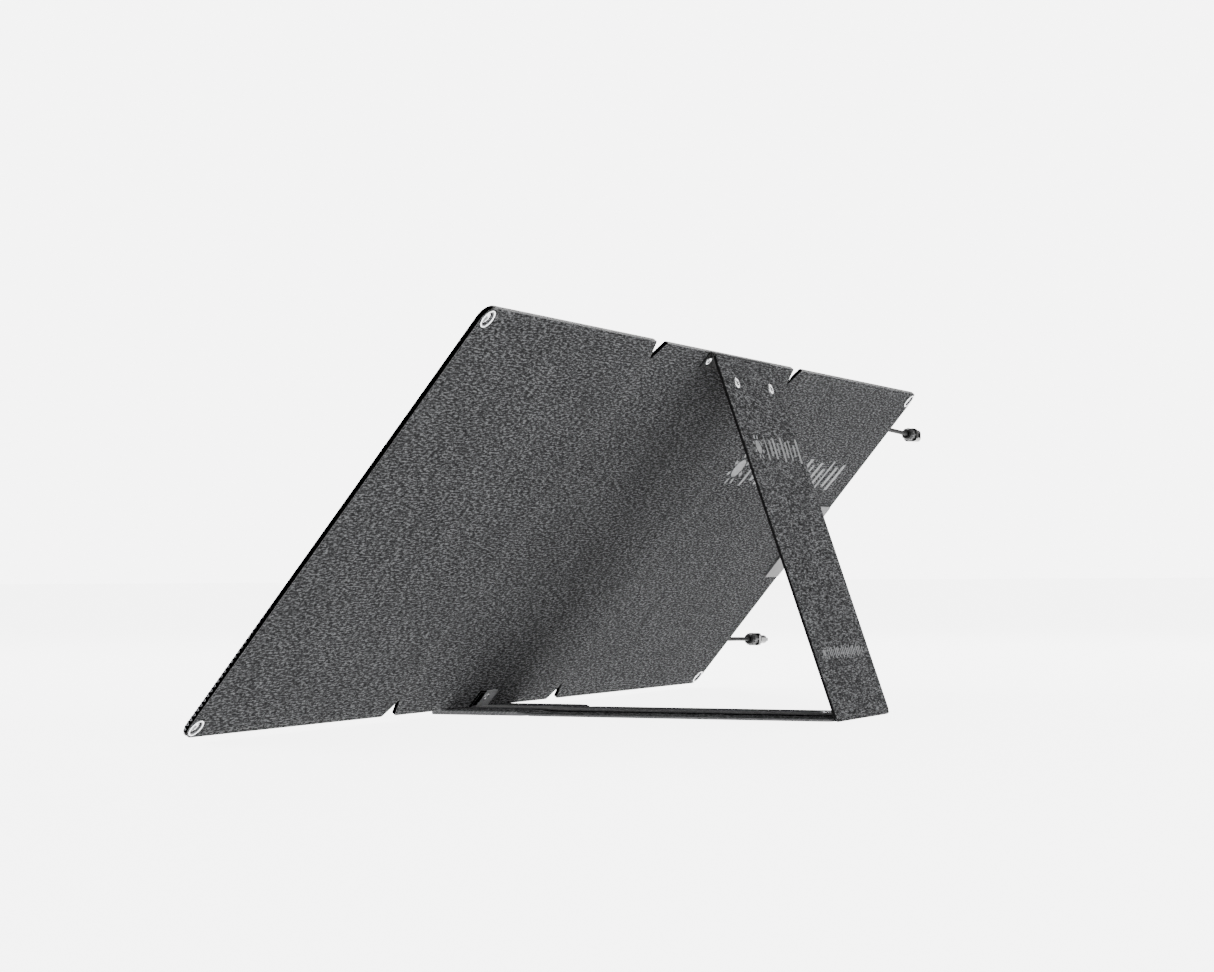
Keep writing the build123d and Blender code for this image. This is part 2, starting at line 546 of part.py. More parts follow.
def hinge_webs():
    """Cloth that bends at the two stand hinges."""
    x0, x1 = STAND_X - STAND_W / 2 + 1, STAND_X + STAND_W / 2 - 1
    web_t = 0.8
    foot_line = [leg_point(WEB_REACH, LEG_T / 2), leg_point(3.4, LEG_T / 2 - 0.2), (FOOT_Y - 1.6, 1.4),
                 (FOOT_Y - 3.6, 0.8), (FOOT_Y - WEB_REACH, BASE_T / 2)]
    foot = side_band(foot_line, web_t, x0, x1)
    foot -= leg_plane.location * slab(x0 - 5, x1 + 5, WEB_REACH, 100, -1, LEG_T + 1)
    foot -= slab(x0 - 5, x1 + 5, 0, FOOT_Y - WEB_REACH, -1, PAD_T)
    export("foot_web", foot)
    top_line = [panel_point(HEIGHT - 1.0, -FLAP_T / 2), panel_point(HEIGHT + 0.8, -1.6),
                panel_point(HEIGHT + 0.9, -3.2), leg_point(LEG_LENGTH - 2.0, LEG_T / 2)]
    top = side_band(top_line, web_t, x0, x1)
    top -= leg_plane.location * slab(x0 - 5, x1 + 5, 0, LEG_LENGTH - 2.0, -1, LEG_T + 1)
    top -= panel_plane.location * slab(x0 - 5, x1 + 5, 0, HEIGHT - 1.0, -FLAP_T, THICK)
    export("top_web", top)


# ---- build --------------------------------------------------------------------------------------------
os.makedirs("parts", exist_ok=True)

wing_eyelets = [(WING_X1 - EYELET_INSET, v) for v in (EYELET_INSET, HEIGHT - EYELET_INSET)]
service_eyelets = [(SERVICE_X0 + EYELET_INSET, v) for v in (EYELET_INSET, HEIGHT - EYELET_INSET)]
service_cells_x = (SERVICE_X0 + SERVICE_STRIP + SERVICE_X1) / 2

segment("wing", WING_X0, WING_X1, (WING_WEB_W / 2, None), (WING_X0 + WING_X1) / 2, wing_eyelets)
segment("centre", CENTRE_X0, CENTRE_X1, (SERVICE_WEB_W / 2, WING_WEB_W / 2), (CENTRE_X0 + CENTRE_X1) / 2, [])
segment("service", SERVICE_X0, SERVICE_X1, (None, SERVICE_WEB_W / 2), service_cells_x, service_eyelets)
fold_web("wing_web", CENTRE_X1, WING_X0)
fold_web("service_web", SERVICE_X1, CENTRE_X0)
eyelet_set("wing_eyelets", wing_eyelets)
eyelet_set("service_eyelets", service_eyelets)

shared = {"box_screws": [], "box_gaskets": [], "box_terminals": [], "bypass_diodes": [], "cable_glands": []}
for box_name, box_v in (("positive", HEIGHT / 2 + LEAD_OFFSET), ("negative", HEIGHT / 2 - LEAD_OFFSET)):
    junction_box(box_name, box_v, shared)
for node, solids in shared.items():
    export(node, fuse(solids), panel_plane)
socket_connector(lead("positive_lead", HEIGHT / 2 + LEAD_OFFSET))
plug_connector(lead("negative_lead", HEIGHT / 2 - LEAD_OFFSET))
carry_handle()

base(leg())
tie_strap()
centre_fittings()
hinge_webs()

print(f"leg angle {degrees(LEG_ANGLE):.2f}, closes {LEG_CLOSE_DEG:.2f}, foot closes {FOOT_CLOSE_DEG:.2f}")
print(f"top axis {TOP_AXIS}, foot axis {FOOT_AXIS}, leg length {LEG_LENGTH:.1f}")
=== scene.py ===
"""Folding camping solar panel, open on its kickstand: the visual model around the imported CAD.

Panel frame: x along the panel, v up the slope, n out of the solar side. Leg frame: w up the leg, m towards
the panel. Both in millimetres, like every number in the drawing code; objects are in metres.
"""
import bpy
import numpy as np
from math import ceil, cos, hypot, pi, radians, sin, sqrt, tan
from mathutils import Matrix, Vector, noise
from mathutils.geometry import delaunay_2d_cdt


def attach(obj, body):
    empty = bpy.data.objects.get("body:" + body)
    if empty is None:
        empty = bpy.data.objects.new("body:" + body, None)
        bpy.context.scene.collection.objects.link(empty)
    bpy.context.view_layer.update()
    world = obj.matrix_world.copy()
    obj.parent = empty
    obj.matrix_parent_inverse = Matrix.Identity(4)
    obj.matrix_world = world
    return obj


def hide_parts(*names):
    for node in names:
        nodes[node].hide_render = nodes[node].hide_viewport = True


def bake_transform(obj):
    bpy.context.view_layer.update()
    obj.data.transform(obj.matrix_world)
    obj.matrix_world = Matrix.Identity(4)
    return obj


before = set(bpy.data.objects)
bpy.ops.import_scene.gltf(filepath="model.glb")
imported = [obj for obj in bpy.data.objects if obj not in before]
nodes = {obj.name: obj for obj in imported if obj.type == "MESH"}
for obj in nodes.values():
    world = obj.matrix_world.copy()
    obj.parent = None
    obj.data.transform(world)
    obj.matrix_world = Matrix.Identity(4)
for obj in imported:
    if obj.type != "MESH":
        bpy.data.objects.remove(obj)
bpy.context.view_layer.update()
scene = bpy.context.scene
MM = 0.001

# ---- local frames, as in part.py ----------------------------------------------------------------------
TILT = radians(50.4)
PANEL_Y, PANEL_LIFT = -236.5, 5.3
HEIGHT, THICK = 537.0, 5.0
WING, CENTRE, SERVICE = (262.0, 682.0), (-173.0, 252.0), (-682.0, -190.0)
MIDDLES = {"wing": 472.0, "centre": 39.5, "service": -403.0}
STAND = (-74.0, 118.0)
STRAP = (8.0, 56.0)
NOTCH_HALF, NOTCH_DEPTH = 15.0, 26.0


def panel(x, v, n):
    """Point of the panel frame, in metres."""
    y = PANEL_Y + v * cos(TILT) - n * sin(TILT)
    z = PANEL_LIFT + v * sin(TILT) + n * cos(TILT)
    return Vector((x, y, z)) * MM


FOOT_AXIS = (256.5, -0.3)
LEG_ANGLE = radians(109.07)
LEG_UP = (cos(LEG_ANGLE), sin(LEG_ANGLE))
LEG_IN = (-LEG_UP[1], LEG_UP[0])
LEG_LENGTH = 443.1
LEG_TOP = 441.1
LEG_T, BASE_T, PAD_T = 3.3, 2.5, 5.0
LEG_FACE = 0.3          # how far the sleeve's outer face lies inside the leg's frame


def leg(x, w, m):
    """Point of the leg frame, in metres."""
    y, z = (FOOT_AXIS[k] + w * LEG_UP[k] + (m + LEG_FACE) * LEG_IN[k] for k in (0, 1))
    return Vector((x, y, z)) * MM


def ground(x, y, z):
    """Point of the object frame, in metres."""
    return Vector((x, y, z)) * MM


# ---- camera -------------------------------------------------------------------------------------------
yaw, pitch, roll = radians(66.126), radians(1.928), radians(-0.313)
ahead = Vector((-sin(yaw) * cos(pitch), -cos(yaw) * cos(pitch), sin(pitch)))
level = Vector((-cos(yaw), sin(yaw), 0.0))
upward = level.cross(ahead)
right = cos(roll) * level + sin(roll) * upward
above = -sin(roll) * level + cos(roll) * upward
camera_data = bpy.data.cameras.new("camera")
camera_data.lens = 77.25
camera_data.sensor_width = 36.0
camera_data.clip_end = 200.0
camera = bpy.data.objects.new("camera", camera_data)
scene.collection.objects.link(camera)
turn = Matrix((right, above, -ahead)).transposed().to_4x4()
camera.matrix_world = Matrix.Translation(Vector((2.8792, 1.1988, 0.1665))) @ turn
scene.camera = camera


# ---- material helpers ---------------------------------------------------------------------------------
class Shader:
    """One node material: a Principled shader and short ways to add and join nodes."""

    def __init__(self, name, **values):
        self.material = bpy.data.materials.new(name)
        self.material.use_nodes = True
        self.tree = self.material.node_tree
        self.bsdf = self.tree.nodes["Principled BSDF"]
        for key, value in values.items():
            self.bsdf.inputs[key.replace("_", " ")].default_value = value

    def node(self, kind, **values):
        made = self.tree.nodes.new("ShaderNode" + kind)
        for key, value in values.items():
            if key in made.inputs:
                made.inputs[key].default_value = value
            else:
                setattr(made, key, value)
        return made

    def link(self, out, into):
        self.tree.links.new(out, into)

    def into(self, name):
        return self.bsdf.inputs[name]

    def coords(self, angle=0.0, scale=(1, 1, 1)):
        """Object coordinates turned about X, so that y runs up a sloping face, then scaled."""
        source = self.node("TexCoord").outputs["Object"]
        first = self.node("Mapping")
        first.inputs["Rotation"].default_value = (-angle, 0, 0)
        self.link(source, first.inputs["Vector"])
        second = self.node("Mapping")
        second.inputs["Scale"].default_value = scale
        self.link(first.outputs["Vector"], second.inputs["Vector"])
        return second.outputs["Vector"]

    def noise(self, vector, scale=1.0, detail=2.0, rough=0.5):
        made = self.node("TexNoise", Scale=scale, Detail=detail, Roughness=rough)
        self.link(vector, made.inputs["Vector"])
        return made.outputs["Fac"]

    def math(self, operation, a, b=0.0, c=0.0):
        made = self.node("Math", operation=operation)
        for i, value in enumerate((a, b, c)):
            if hasattr(value, "links"):
                self.link(value, made.inputs[i])
            else:
                made.inputs[i].default_value = value
        return made.outputs[0]

    def ramp(self, value, stops):
        made = self.node("ValToRGB")
        bar = made.color_ramp.elements
        while len(bar) < len(stops):
            bar.new(0.5)
        for element, (at, colour) in zip(bar, stops):
            element.position = at
            element.color = (*colour, 1) if hasattr(colour, "__len__") else (colour, colour, colour, 1)
        self.link(value, made.inputs["Fac"])
        return made.outputs["Color"]

    def mix(self, factor, a, b, kind="MIX"):
        made = self.node("Mix", data_type="RGBA", blend_type=kind)
        if hasattr(factor, "links"):
            self.link(factor, made.inputs[0])
        else:
            made.inputs[0].default_value = factor
        for slot_index, value in ((6, a), (7, b)):
            if hasattr(value, "links"):
                self.link(value, made.inputs[slot_index])
            else:
                made.inputs[slot_index].default_value = (*value, 1)
        return made.outputs[2]

    def uneven_gloss(self, pattern, low, high):
        """Roughness that varies between two values with a pattern."""
        spread = self.node("MapRange")
        spread.inputs["To Min"].default_value = low
        spread.inputs["To Max"].default_value = high
        self.link(pattern, spread.inputs["Value"])
        self.link(spread.outputs["Result"], self.into("Roughness"))

    def waves(self, vector, direction, distortion):
        """Straight bands, as threads or ribs."""
        made = self.node("TexWave", wave_type="BANDS", bands_direction=direction, Scale=1.0,
                         Distortion=distortion)
        self.link(vector, made.inputs["Vector"])
        return made.outputs["Fac"]

    def bump(self, height, strength, distance):
        made = self.node("Bump", Strength=strength, Distance=distance)
        self.link(height, made.inputs["Height"])
        self.link(made.outputs["Normal"], self.into("Normal"))


def grey(value):
    """Very slightly blue grey."""
    return (value * 0.985, value, value * 1.03)


def heather(name, angle, tone=1.0, fine=1.0):
    """Heather-grey melange cloth: short streaks of light and dark yarn along X, over a plain weave."""
    s = Shader(name, Roughness=0.95, Specular_IOR_Level=0.04, Sheen_Weight=0.02, Sheen_Roughness=0.5)
    streaks = s.noise(s.coords(angle, (125 * fine, 560 * fine, 560 * fine)), 1.0, 2.0, 0.55)
    flecks = s.noise(s.coords(angle, (330 * fine, 680 * fine, 680 * fine)), 1.0, 2.0, 0.55)
    blend = s.math("ADD", s.math("MULTIPLY", streaks, 0.6), s.math("MULTIPLY", flecks, 0.4))
    stops = [(0.405, grey(0.004 * tone)), (0.457, grey(0.022 * tone)), (0.5, grey(0.058 * tone)),
             (0.543, grey(0.122 * tone)), (0.595, grey(0.28 * tone))]
    colour = s.ramp(blend, stops)
    wear = s.ramp(s.noise(s.coords(angle, (26, 14, 14)), 1.0, 4.0, 0.65), [(0.3, 0.82), (0.7, 1.14)])
    s.link(s.mix(1.0, colour, wear, "MULTIPLY"), s.into("Base Color"))
    warp = s.waves(s.coords(angle, (320, 320, 320)), "X", 0.4)
    weft = s.waves(s.coords(angle, (420, 420, 420)), "Y", 0.4)
    woven = s.math("MAXIMUM", warp, weft)
    s.bump(s.math("ADD", s.math("MULTIPLY", woven, 0.5), blend), 0.5, 0.0005)
    return s.material


def plain_cloth(name, angle, value, rib=900.0, sheen=0.1, gloss=0.25, rough=0.82):
    """Plain woven cloth or webbing with fine ribs and a little fade."""
    s = Shader(name, Roughness=rough, Specular_IOR_Level=gloss, Sheen_Weight=sheen, Sheen_Roughness=0.4)
    fade = s.noise(s.coords(angle, (60, 200, 200)), 1.0, 4.0, 0.65)
    s.link(s.ramp(fade, [(0.3, grey(value * 0.72)), (0.7, grey(value * 1.3))]), s.into("Base Color"))
    s.bump(s.waves(s.coords(angle, (rib, rib, rib)), "DIAGONAL", 0.6), 0.45, 0.0003)
    return s.material


def moulded(name, value, rough=0.45, grain=1500.0, depth=0.00008, shine=0.5):
    """Moulded plastic or rubber with a fine grain and slightly uneven gloss."""
    s = Shader(name, Specular_IOR_Level=shine)
    patch = s.noise(s.coords(0.0, (45, 45, 45)), 1.0, 3.0, 0.6)
    s.link(s.ramp(patch, [(0.3, grey(value * 0.8)), (0.7, grey(value * 1.25))]), s.into("Base Color"))
    s.uneven_gloss(patch, rough - 0.06, rough + 0.08)
    s.bump(s.noise(s.coords(0.0, (grain, grain, grain)), 1.0, 2.0, 0.5), 0.4, depth)
    return s.material


def metal(name, colour, rough=0.2, wear=0.12, brushed=(700, 700, 700), plating=1.0):
    """Plated metal with light scuffs."""
    s = Shader(name, Metallic=plating)
    scuff = s.noise(s.coords(0.0, brushed), 1.0, 4.0, 0.7)
    dull = tuple(c * 0.82 for c in colour)
    s.link(s.ramp(scuff, [(0.35, dull), (0.6, colour)]), s.into("Base Color"))
    s.uneven_gloss(scuff, rough, rough + wear)
    s.bump(scuff, 0.15, 0.0001)
    return s.material


def twisted_thread(name, value):
    """Sewing thread: fine diagonal twist."""
    s = Shader(name, Roughness=0.7, Sheen_Weight=0.2)
    twist = s.waves(s.coords(0.0, (1600, 1600, 1600)), "DIAGONAL", 0.5)
    s.link(s.ramp(twist, [(0.2, grey(value * 0.7)), (0.8, grey(value * 1.2))]), s.into("Base Color"))
    s.bump(twist, 0.4, 0.0002)
    return s.material


def cell_face(name):
    """Monocrystalline wafer: fine fingers up the slope, nine thin wires along X, soft blue variation."""
    s = Shader(name, Roughness=0.26, Specular_IOR_Level=0.6, Coat_Weight=0.5, Coat_Roughness=0.08)
    place = s.node("SeparateXYZ")
    s.link(s.coords(TILT, (1000, 1000, 1000)), place.inputs["Vector"])
    finger_phase = s.math("FRACT", s.math("DIVIDE", place.outputs["X"], 1.3))
    across = s.math("ABSOLUTE", s.math("SUBTRACT", finger_phase, 0.5))
    finger = s.math("GREATER_THAN", across, 0.455)
    lowest_cell = PANEL_Y * cos(TILT) + PANEL_LIFT * sin(TILT) + 33.0
    in_cell = s.math("FLOORED_MODULO", s.math("ADD", place.outputs["Y"], -lowest_cell), 95.0)
    wire_phase = s.math("FLOORED_MODULO", s.math("ADD", in_cell, -5.5), 10.0)
    wire = s.math("LESS_THAN", s.math("ABSOLUTE", s.math("SUBTRACT", wire_phase, 5.0)), 0.28)
    tint = s.ramp(s.noise(s.coords(TILT, (14, 14, 14)), 1.0, 3.0, 0.6),
                  [(0.3, (0.004, 0.006, 0.016)), (0.7, (0.009, 0.013, 0.034))])
    lined = s.mix(s.math("MULTIPLY", finger, 0.35), tint, (0.10, 0.11, 0.14))
    s.link(s.mix(s.math("MULTIPLY", wire, 0.85), lined, (0.42, 0.43, 0.45)), s.into("Base Color"))
    s.link(s.math("MULTIPLY", wire, 0.8), s.into("Metallic"))
    s.bump(s.math("ADD", wire, s.math("MULTIPLY", finger, 0.2)), 0.25, 0.0001)
    return s.material


def film_face():
    """Clear embossed front film: small close dimples that break up its gloss."""
    s = Shader("clear_film", Roughness=0.3, Alpha=0.14, Specular_IOR_Level=0.4, Coat_Weight=0.35,
               Coat_Roughness=0.16)
    dots = s.node("TexVoronoi", Scale=1.0, Randomness=0.35)
    s.link(s.coords(TILT, (520, 520, 520)), dots.inputs["Vector"])
    haze = s.noise(s.coords(TILT, (6, 6, 6)), 1.0, 3.0, 0.6)
    s.link(s.ramp(haze, [(0.3, (0.02, 0.022, 0.03)), (0.7, (0.05, 0.055, 0.07))]), s.into("Base Color"))
    s.bump(dots.outputs["Distance"], 0.14, 0.0003)
    s.material.blend_method = "BLEND"
    return s.material


def laminate():
    """Glass-fibre board: woven green-white laminate."""
    s = Shader("glass_fibre_board", Roughness=0.4, Specular_IOR_Level=0.5)
    check = s.node("TexChecker", Scale=1.0)
    s.link(s.coords(TILT, (900, 900, 900)), check.inputs["Vector"])
    cloudy = s.noise(s.coords(TILT, (25, 25, 25)), 1.0, 3.0, 0.6)
    base = s.ramp(cloudy, [(0.3, (0.34, 0.42, 0.28)), (0.7, (0.50, 0.58, 0.44))])
    woven = s.mix(s.math("MULTIPLY", check.outputs["Fac"], 0.12), base, (0.75, 0.8, 0.7))
    s.link(woven, s.into("Base Color"))
    s.bump(check.outputs["Fac"], 0.2, 0.0001)
    return s.material


PANEL_CLOTH = heather("heather_panel", TILT, 1.1)
LEG_CLOTH = heather("heather_leg", LEG_ANGLE, 0.86, 1.25)
BASE_CLOTH = heather("heather_base", 0.0, 0.95)
BORDER_CLOTH = plain_cloth("border_cloth", TILT, 0.0045, sheen=0.01, gloss=0.22, rough=0.5)
# Near-black, gloss-free cloth: the black binding on the border's side walls, and a painted shadow on the
# bottom tab's left part.
BLACK_BINDING_AND_SHADOW = plain_cloth("black_binding_and_painted_shadow", TILT, 0.0015, sheen=0.0, gloss=0.0, rough=0.9)
# Near-black cloth of the top flap and top hinge web, made darker still as painted shade under the leg's top.
FLAP_CLOTH_AND_SHADE = plain_cloth("flap_cloth_painted_shade", TILT, 0.004, sheen=0.0, gloss=0.1)
EDGING = plain_cloth("edge_binding", LEG_ANGLE, 0.005, sheen=0.0, gloss=0.05)
PAD_EDGING = plain_cloth("pad_binding", 0.0, 0.17)
WEBBING = plain_cloth("webbing", 0.0, 0.10, rib=1400.0, sheen=0.2)
# Webbing made lighter than the strap's (0.24 against 0.10): painted light, so that the tab, in the leg's
# shadow, reads as lit.
TAB_WEBBING_PAINTED_LIGHT = plain_cloth("tab_webbing_painted_light", TILT, 0.24, rib=1400.0, sheen=0.2)
LIGHT_THREAD = twisted_thread("light_thread", 0.36)
GREY_THREAD = twisted_thread("grey_thread", 0.10)
DARK_THREAD = twisted_thread("dark_thread", 0.02)
NICKEL = metal("bright_nickel", (0.88, 0.89, 0.90), 0.16, plating=0.75)
# Dark copy of the eyelet metal for the curled throats: painted shade inside each eyelet's bore.
THROAT_PAINTED_SHADE = metal("eyelet_throat_painted_shade", (0.09, 0.09, 0.095), 0.35)
PRINT = plain_cloth("screen_print", TILT, 0.25, rib=600.0, sheen=0.0, gloss=0.3, rough=0.6)
# Near-black cloth used only as painted shade: thin rings in the eyelets' bores and discs in the leg studs'
# dimples.
PAINTED_SHADE_CLOTH = plain_cloth("painted_shade_cloth", TILT, 0.004, rib=700.0, sheen=0.0, gloss=0.1)

# ---- mesh helpers -------------------------------------------------------------------------------------


def make_object(name, points, faces, materials, smooth_angle=38.0):
    """Mesh object from points in metres, with edges sharper than the angle left sharp."""
    mesh = bpy.data.meshes.new(name)
    mesh.from_pydata([tuple(p) for p in points], [], faces)
    for material in materials:
        mesh.materials.append(material)
    mesh.validate()
    made = bpy.data.objects.new(name, mesh)
    scene.collection.objects.link(made)
    mesh.shade_smooth()
    mesh.set_sharp_from_angle(angle=radians(smooth_angle))
    return made


def rounded_outline(corners, radii, step):
    """Closed outline through the corners, each one rounded, with straight runs split to the step."""
    out = []
    count = len(corners)
    for i, (corner, radius) in enumerate(zip(corners, radii)):
        here = Vector(corner)
        before = (Vector(corners[i - 1]) - here).normalized()
        after = (Vector(corners[(i + 1) % count]) - here).normalized()
        half = before.angle(after) / 2
        reach = radius / tan(half)
        centre = here + (before + after).normalized() * (radius / sin(half))
        start, end = here + before * reach - centre, here + after * reach - centre
        sweep = start.angle(end)
        pieces = max(3, int(ceil(sweep / radians(11))))
        sign = 1 if start.x * end.y - start.y * end.x > 0 else -1
        for k in range(pieces + 1):
            angle = sign * sweep * k / pieces
            out.append(centre + Vector((start.x * cos(angle) - start.y * sin(angle),
                                        start.x * sin(angle) + start.y * cos(angle))))
    split = []
    for a, b in zip(out, out[1:] + out[:1]):
        pieces = max(1, int(round((b - a).length / step)))
        split += [a.lerp(b, k / pieces) for k in range(pieces)]
    return [p for i, p in enumerate(split) if (p - split[i - 1]).length > 0.02]


def rectangle(x0, x1, v0, v1, radius, step=12.0):
    return rounded_outline([(x0, v0), (x1, v0), (x1, v1), (x0, v1)], [radius] * 4, step)


def inset(loop, distance):
    """Loop moved towards its left side by the distance."""
    out = []
    for i, point in enumerate(loop):
        along = (loop[(i + 1) % len(loop)] - loop[i - 1]).normalized()
        out.append(point + Vector((-along.y, along.x)) * distance)
    return out


def distances(points, loop):
    """Distance of each point to a closed loop."""
    p = np.array(points)
    a = np.array([tuple(q) for q in loop])
    run = np.roll(a, -1, axis=0) - a
    best = np.full(len(p), 1e9)
    for start, d in zip(a, run):
        t = np.clip(((p - start) @ d) / max(d @ d, 1e-12), 0, 1)
        best = np.minimum(best, np.hypot(*(p - start - t[:, None] * d).T))
    return best


def is_inside(points, loop):
    """Which points lie inside a closed loop."""
    x, y = np.array(points).T
    a = np.array([tuple(q) for q in loop])
    b = np.roll(a, -1, axis=0)
    odd = np.zeros(len(x), bool)
    for (x0, y0), (x1, y1) in zip(a, b):
        if y0 != y1:
            odd ^= ((y0 > y) != (y1 > y)) & (x < (x1 - x0) * (y - y0) / (y1 - y0) + x0)
    return odd


def tile(outline, rims, holes, hole_rims, step):
    """Triangles that fill an outline, without its holes, with loops of points close to every edge."""
    loops = [outline] + [inset(outline, d) for d in rims]
    for hole in holes:
        loops += [hole] + [inset(hole, -d) for d in hole_rims]
    grid_x = [p[0] for p in outline]
    grid_y = [p[1] for p in outline]
    xs = np.arange(min(grid_x) + step / 2, max(grid_x), step)
    ys = np.arange(min(grid_y) + step / 2, max(grid_y), step)
    grid = [(x + (step / 2 if j % 2 else 0), y) for j, y in enumerate(ys) for x in xs]
    keep = is_inside(grid, outline) & (distances(grid, outline) > rims[-1] + step * 0.35)
    for hole in holes:
        keep &= ~is_inside(grid, hole) & (distances(grid, hole) > hole_rims[-1] + step * 0.3)
    points, edges = [], []
    for loop in loops:
        first = len(points)
        points += [Vector((p[0], p[1])) for p in loop]
        edges += [(first + i, first + (i + 1) % len(loop)) for i in range(len(loop))]
    points += [Vector(p) for p, k in zip(grid, keep) if k]
    flat, _, triangles, _, _, _ = delaunay_2d_cdt(points, edges, [], 1, 1e-5)
    flat = [tuple(p) for p in flat]
    middles = [tuple(np.mean([flat[i] for i in t], axis=0)) for t in triangles]
    good = is_inside(middles, outline)
    for hole in holes:
        good &= ~is_inside(middles, hole)
    return flat, [tuple(t) for t, k in zip(triangles, good) if k]


def sewn_plate(name, outline, place, low, high, materials, rims, holes=(), hole_rims=(), step=12.0,
               edge_slot=None):
    """Closed plate over an outline. low and high give its two faces from (x, y, distance to the outline)."""
    flat, triangles = tile(outline, rims, holes, hole_rims, step)
    used = sorted({i for t in triangles for i in t})
    index = {old: new for new, old in enumerate(used)}
    flat = [flat[i] for i in used]
    triangles = [tuple(index[i] for i in t) for t in triangles]
    out_d = distances(flat, outline)
    points = [place(x, y, face(x, y, d)) for face in (low, high) for (x, y), d in zip(flat, out_d)]
    size = len(flat)
    faces = [tuple(reversed(t)) for t in triangles] + [tuple(i + size for i in t) for t in triangles]
    seen = dict.fromkeys(edge for a, b, c in triangles for edge in ((a, b), (b, c), (c, a)))
    walls = [(a, b, b + size, a + size) for a, b in seen if (b, a) not in seen]
    made = make_object(name, points, faces + walls, materials)
    if edge_slot is not None:
        depth = np.array(list(out_d) * 2)
        for polygon in made.data.polygons:
            if depth[list(polygon.vertices)].max() < edge_slot + 0.01:
                polygon.material_index = 1
    return made


def roll_over(d, radius):
    """How far a rounded edge lies below its face, at a distance in from the edge."""
    if d >= radius:
        return 0.0
    return radius - sqrt(max(radius ** 2 - (radius - d) ** 2, 0.0))


def ripple(x, y, size=60.0, height=0.12, seed=0.0):
    """Slight unevenness of glued or sewn cloth."""
    return height * noise.noise(Vector((x / size + seed, y / size, seed * 1.7)))


def smooth_line(points, reach, step):
    """Line through (y, z) points with its corners eased, in short steps."""
    points = [Vector(p) for p in points]
    out = [points[0]]
    for before, here, after in zip(points, points[1:], points[2:]):
        r = min(reach, (here - before).length * 0.45, (after - here).length * 0.45)
        a, b = here + (before - here).normalized() * r, here + (after - here).normalized() * r
        out += [a.lerp(here, t).lerp(here.lerp(b, t), t) for t in (0.0, 0.17, 0.33, 0.5, 0.67, 0.83, 1.0)]
    out.append(points[-1])
    split = [out[0]]
    for a, b in zip(out, out[1:]):
        pieces = max(1, int(round((b - a).length / step)))
        split += [a.lerp(b, k / pieces) for k in range(1, pieces + 1)]
    return [p for i, p in enumerate(split) if i == 0 or (p - split[i - 1]).length > 0.01]


def cloth_strip(name, line, x0, x1, thickness, place, materials, selvedge=1.6, wave=0.0, across=14):
    """Strip of cloth or webbing whose middle follows a (y, z) line, with thin rolled selvedges."""
    xs = [x0, x0 + 0.25, x0 + 0.7, x0 + selvedge]
    xs += list(np.linspace(x0 + selvedge, x1 - selvedge, across)[1:-1])
    xs += [x1 - selvedge, x1 - 0.7, x1 - 0.25, x1]
    ring = len(xs)
    points = []
    for i, here in enumerate(line):
        along = (line[min(i + 1, len(line) - 1)] - line[max(i - 1, 0)]).normalized()
        normal = Vector((-along.y, along.x))
        for side in (-1, 1):
            row = xs if side < 0 else xs[::-1]
            for x in row:
                d = min(x - x0, x1 - x)
                half = thickness / 2 * (1 - 0.75 * roll_over(d, selvedge) / selvedge)
                lift = ripple(x, here.x + here.y, 30.0, wave)
                p = here + normal * (side * half + lift)
                points.append(place(x, p.x, p.y))
    loop = 2 * ring
    faces = []
    for i in range(len(line) - 1):
        for k in range(loop):
            a, b = i * loop + k, i * loop + (k + 1) % loop
            faces.append((a, b, b + loop, a + loop))
    last = (len(line) - 1) * loop
    for k in range(ring - 1):
        faces.append((k + 1, k, loop - 1 - k, loop - 2 - k))
        faces.append((last + k, last + k + 1, last + loop - 2 - k, last + loop - 1 - k))
    return make_object(name, points, faces, materials)


class Threads:
    """Collects short lengths of thread into one mesh."""

    def __init__(self):
        self.points, self.faces = [], []

    def tube(self, path, radius, sides=6):
        """Thread along a path in metres, drawn in at both ends."""
        first = len(self.points)
        last = len(path) - 1
        for i, here in enumerate(path):
            along = (path[min(i + 1, last)] - path[max(i - 1, 0)]).normalized()
            side = along.orthogonal() if i == 0 else side - along * side.dot(along)
            side.normalize()
            other = along.cross(side)
            r = radius * (0.45 if i in (0, last) else 1.0)
            for k in range(sides):
                angle = 2 * pi * k / sides
                self.points.append(here + (side * cos(angle) + other * sin(angle)) * r)
        for i in range(last):
            for k in range(sides):
                a, b = first + i * sides + k, first + i * sides + (k + 1) % sides
                self.faces.append((a, b, b + sides, a + sides))
        self.faces.append(tuple(first + k for k in reversed(range(sides))))
        self.faces.append(tuple(first + last * sides + k for k in range(sides)))

    def run(self, route, place, height, sign, length=3.2, gap=1.1, radius=0.28, close=False):
        """Running stitches along a flat route, over a cloth face at a height, with its outward sign."""
        loop = list(route) + ([route[0]] if close else [])
        marks = [0.0]
        for a, b in zip(loop, loop[1:]):
            marks.append(marks[-1] + (Vector(b) - Vector(a)).length)
        total = marks[-1]
        count = int(total // (length + gap))
        pitch = total / max(count, 1)

        def at(s):
            k = max(0, min(int(np.searchsorted(marks, s, side="right")) - 1, len(loop) - 2))
            t = (s - marks[k]) / max(marks[k + 1] - marks[k], 1e-9)
            return Vector(loop[k]).lerp(Vector(loop[k + 1]), t)

        for i in range(count):
            s0 = i * pitch + gap / 2
            s1 = s0 + pitch - gap
            shape = []
            for t, rise in ((0.0, -0.35), (0.12, 0.1), (0.5, 0.3), (0.88, 0.1), (1.0, -0.35)):
                p = at(s0 + (s1 - s0) * t)
                base = height(p.x, p.y) if callable(height) else height
                shape.append(place(p.x, p.y, base + sign * (rise * radius + radius * 0.35)))
            self.tube(shape, radius * MM)

    def build(self, name, material):
        return make_object(name, self.points, self.faces, [material], 60.0)


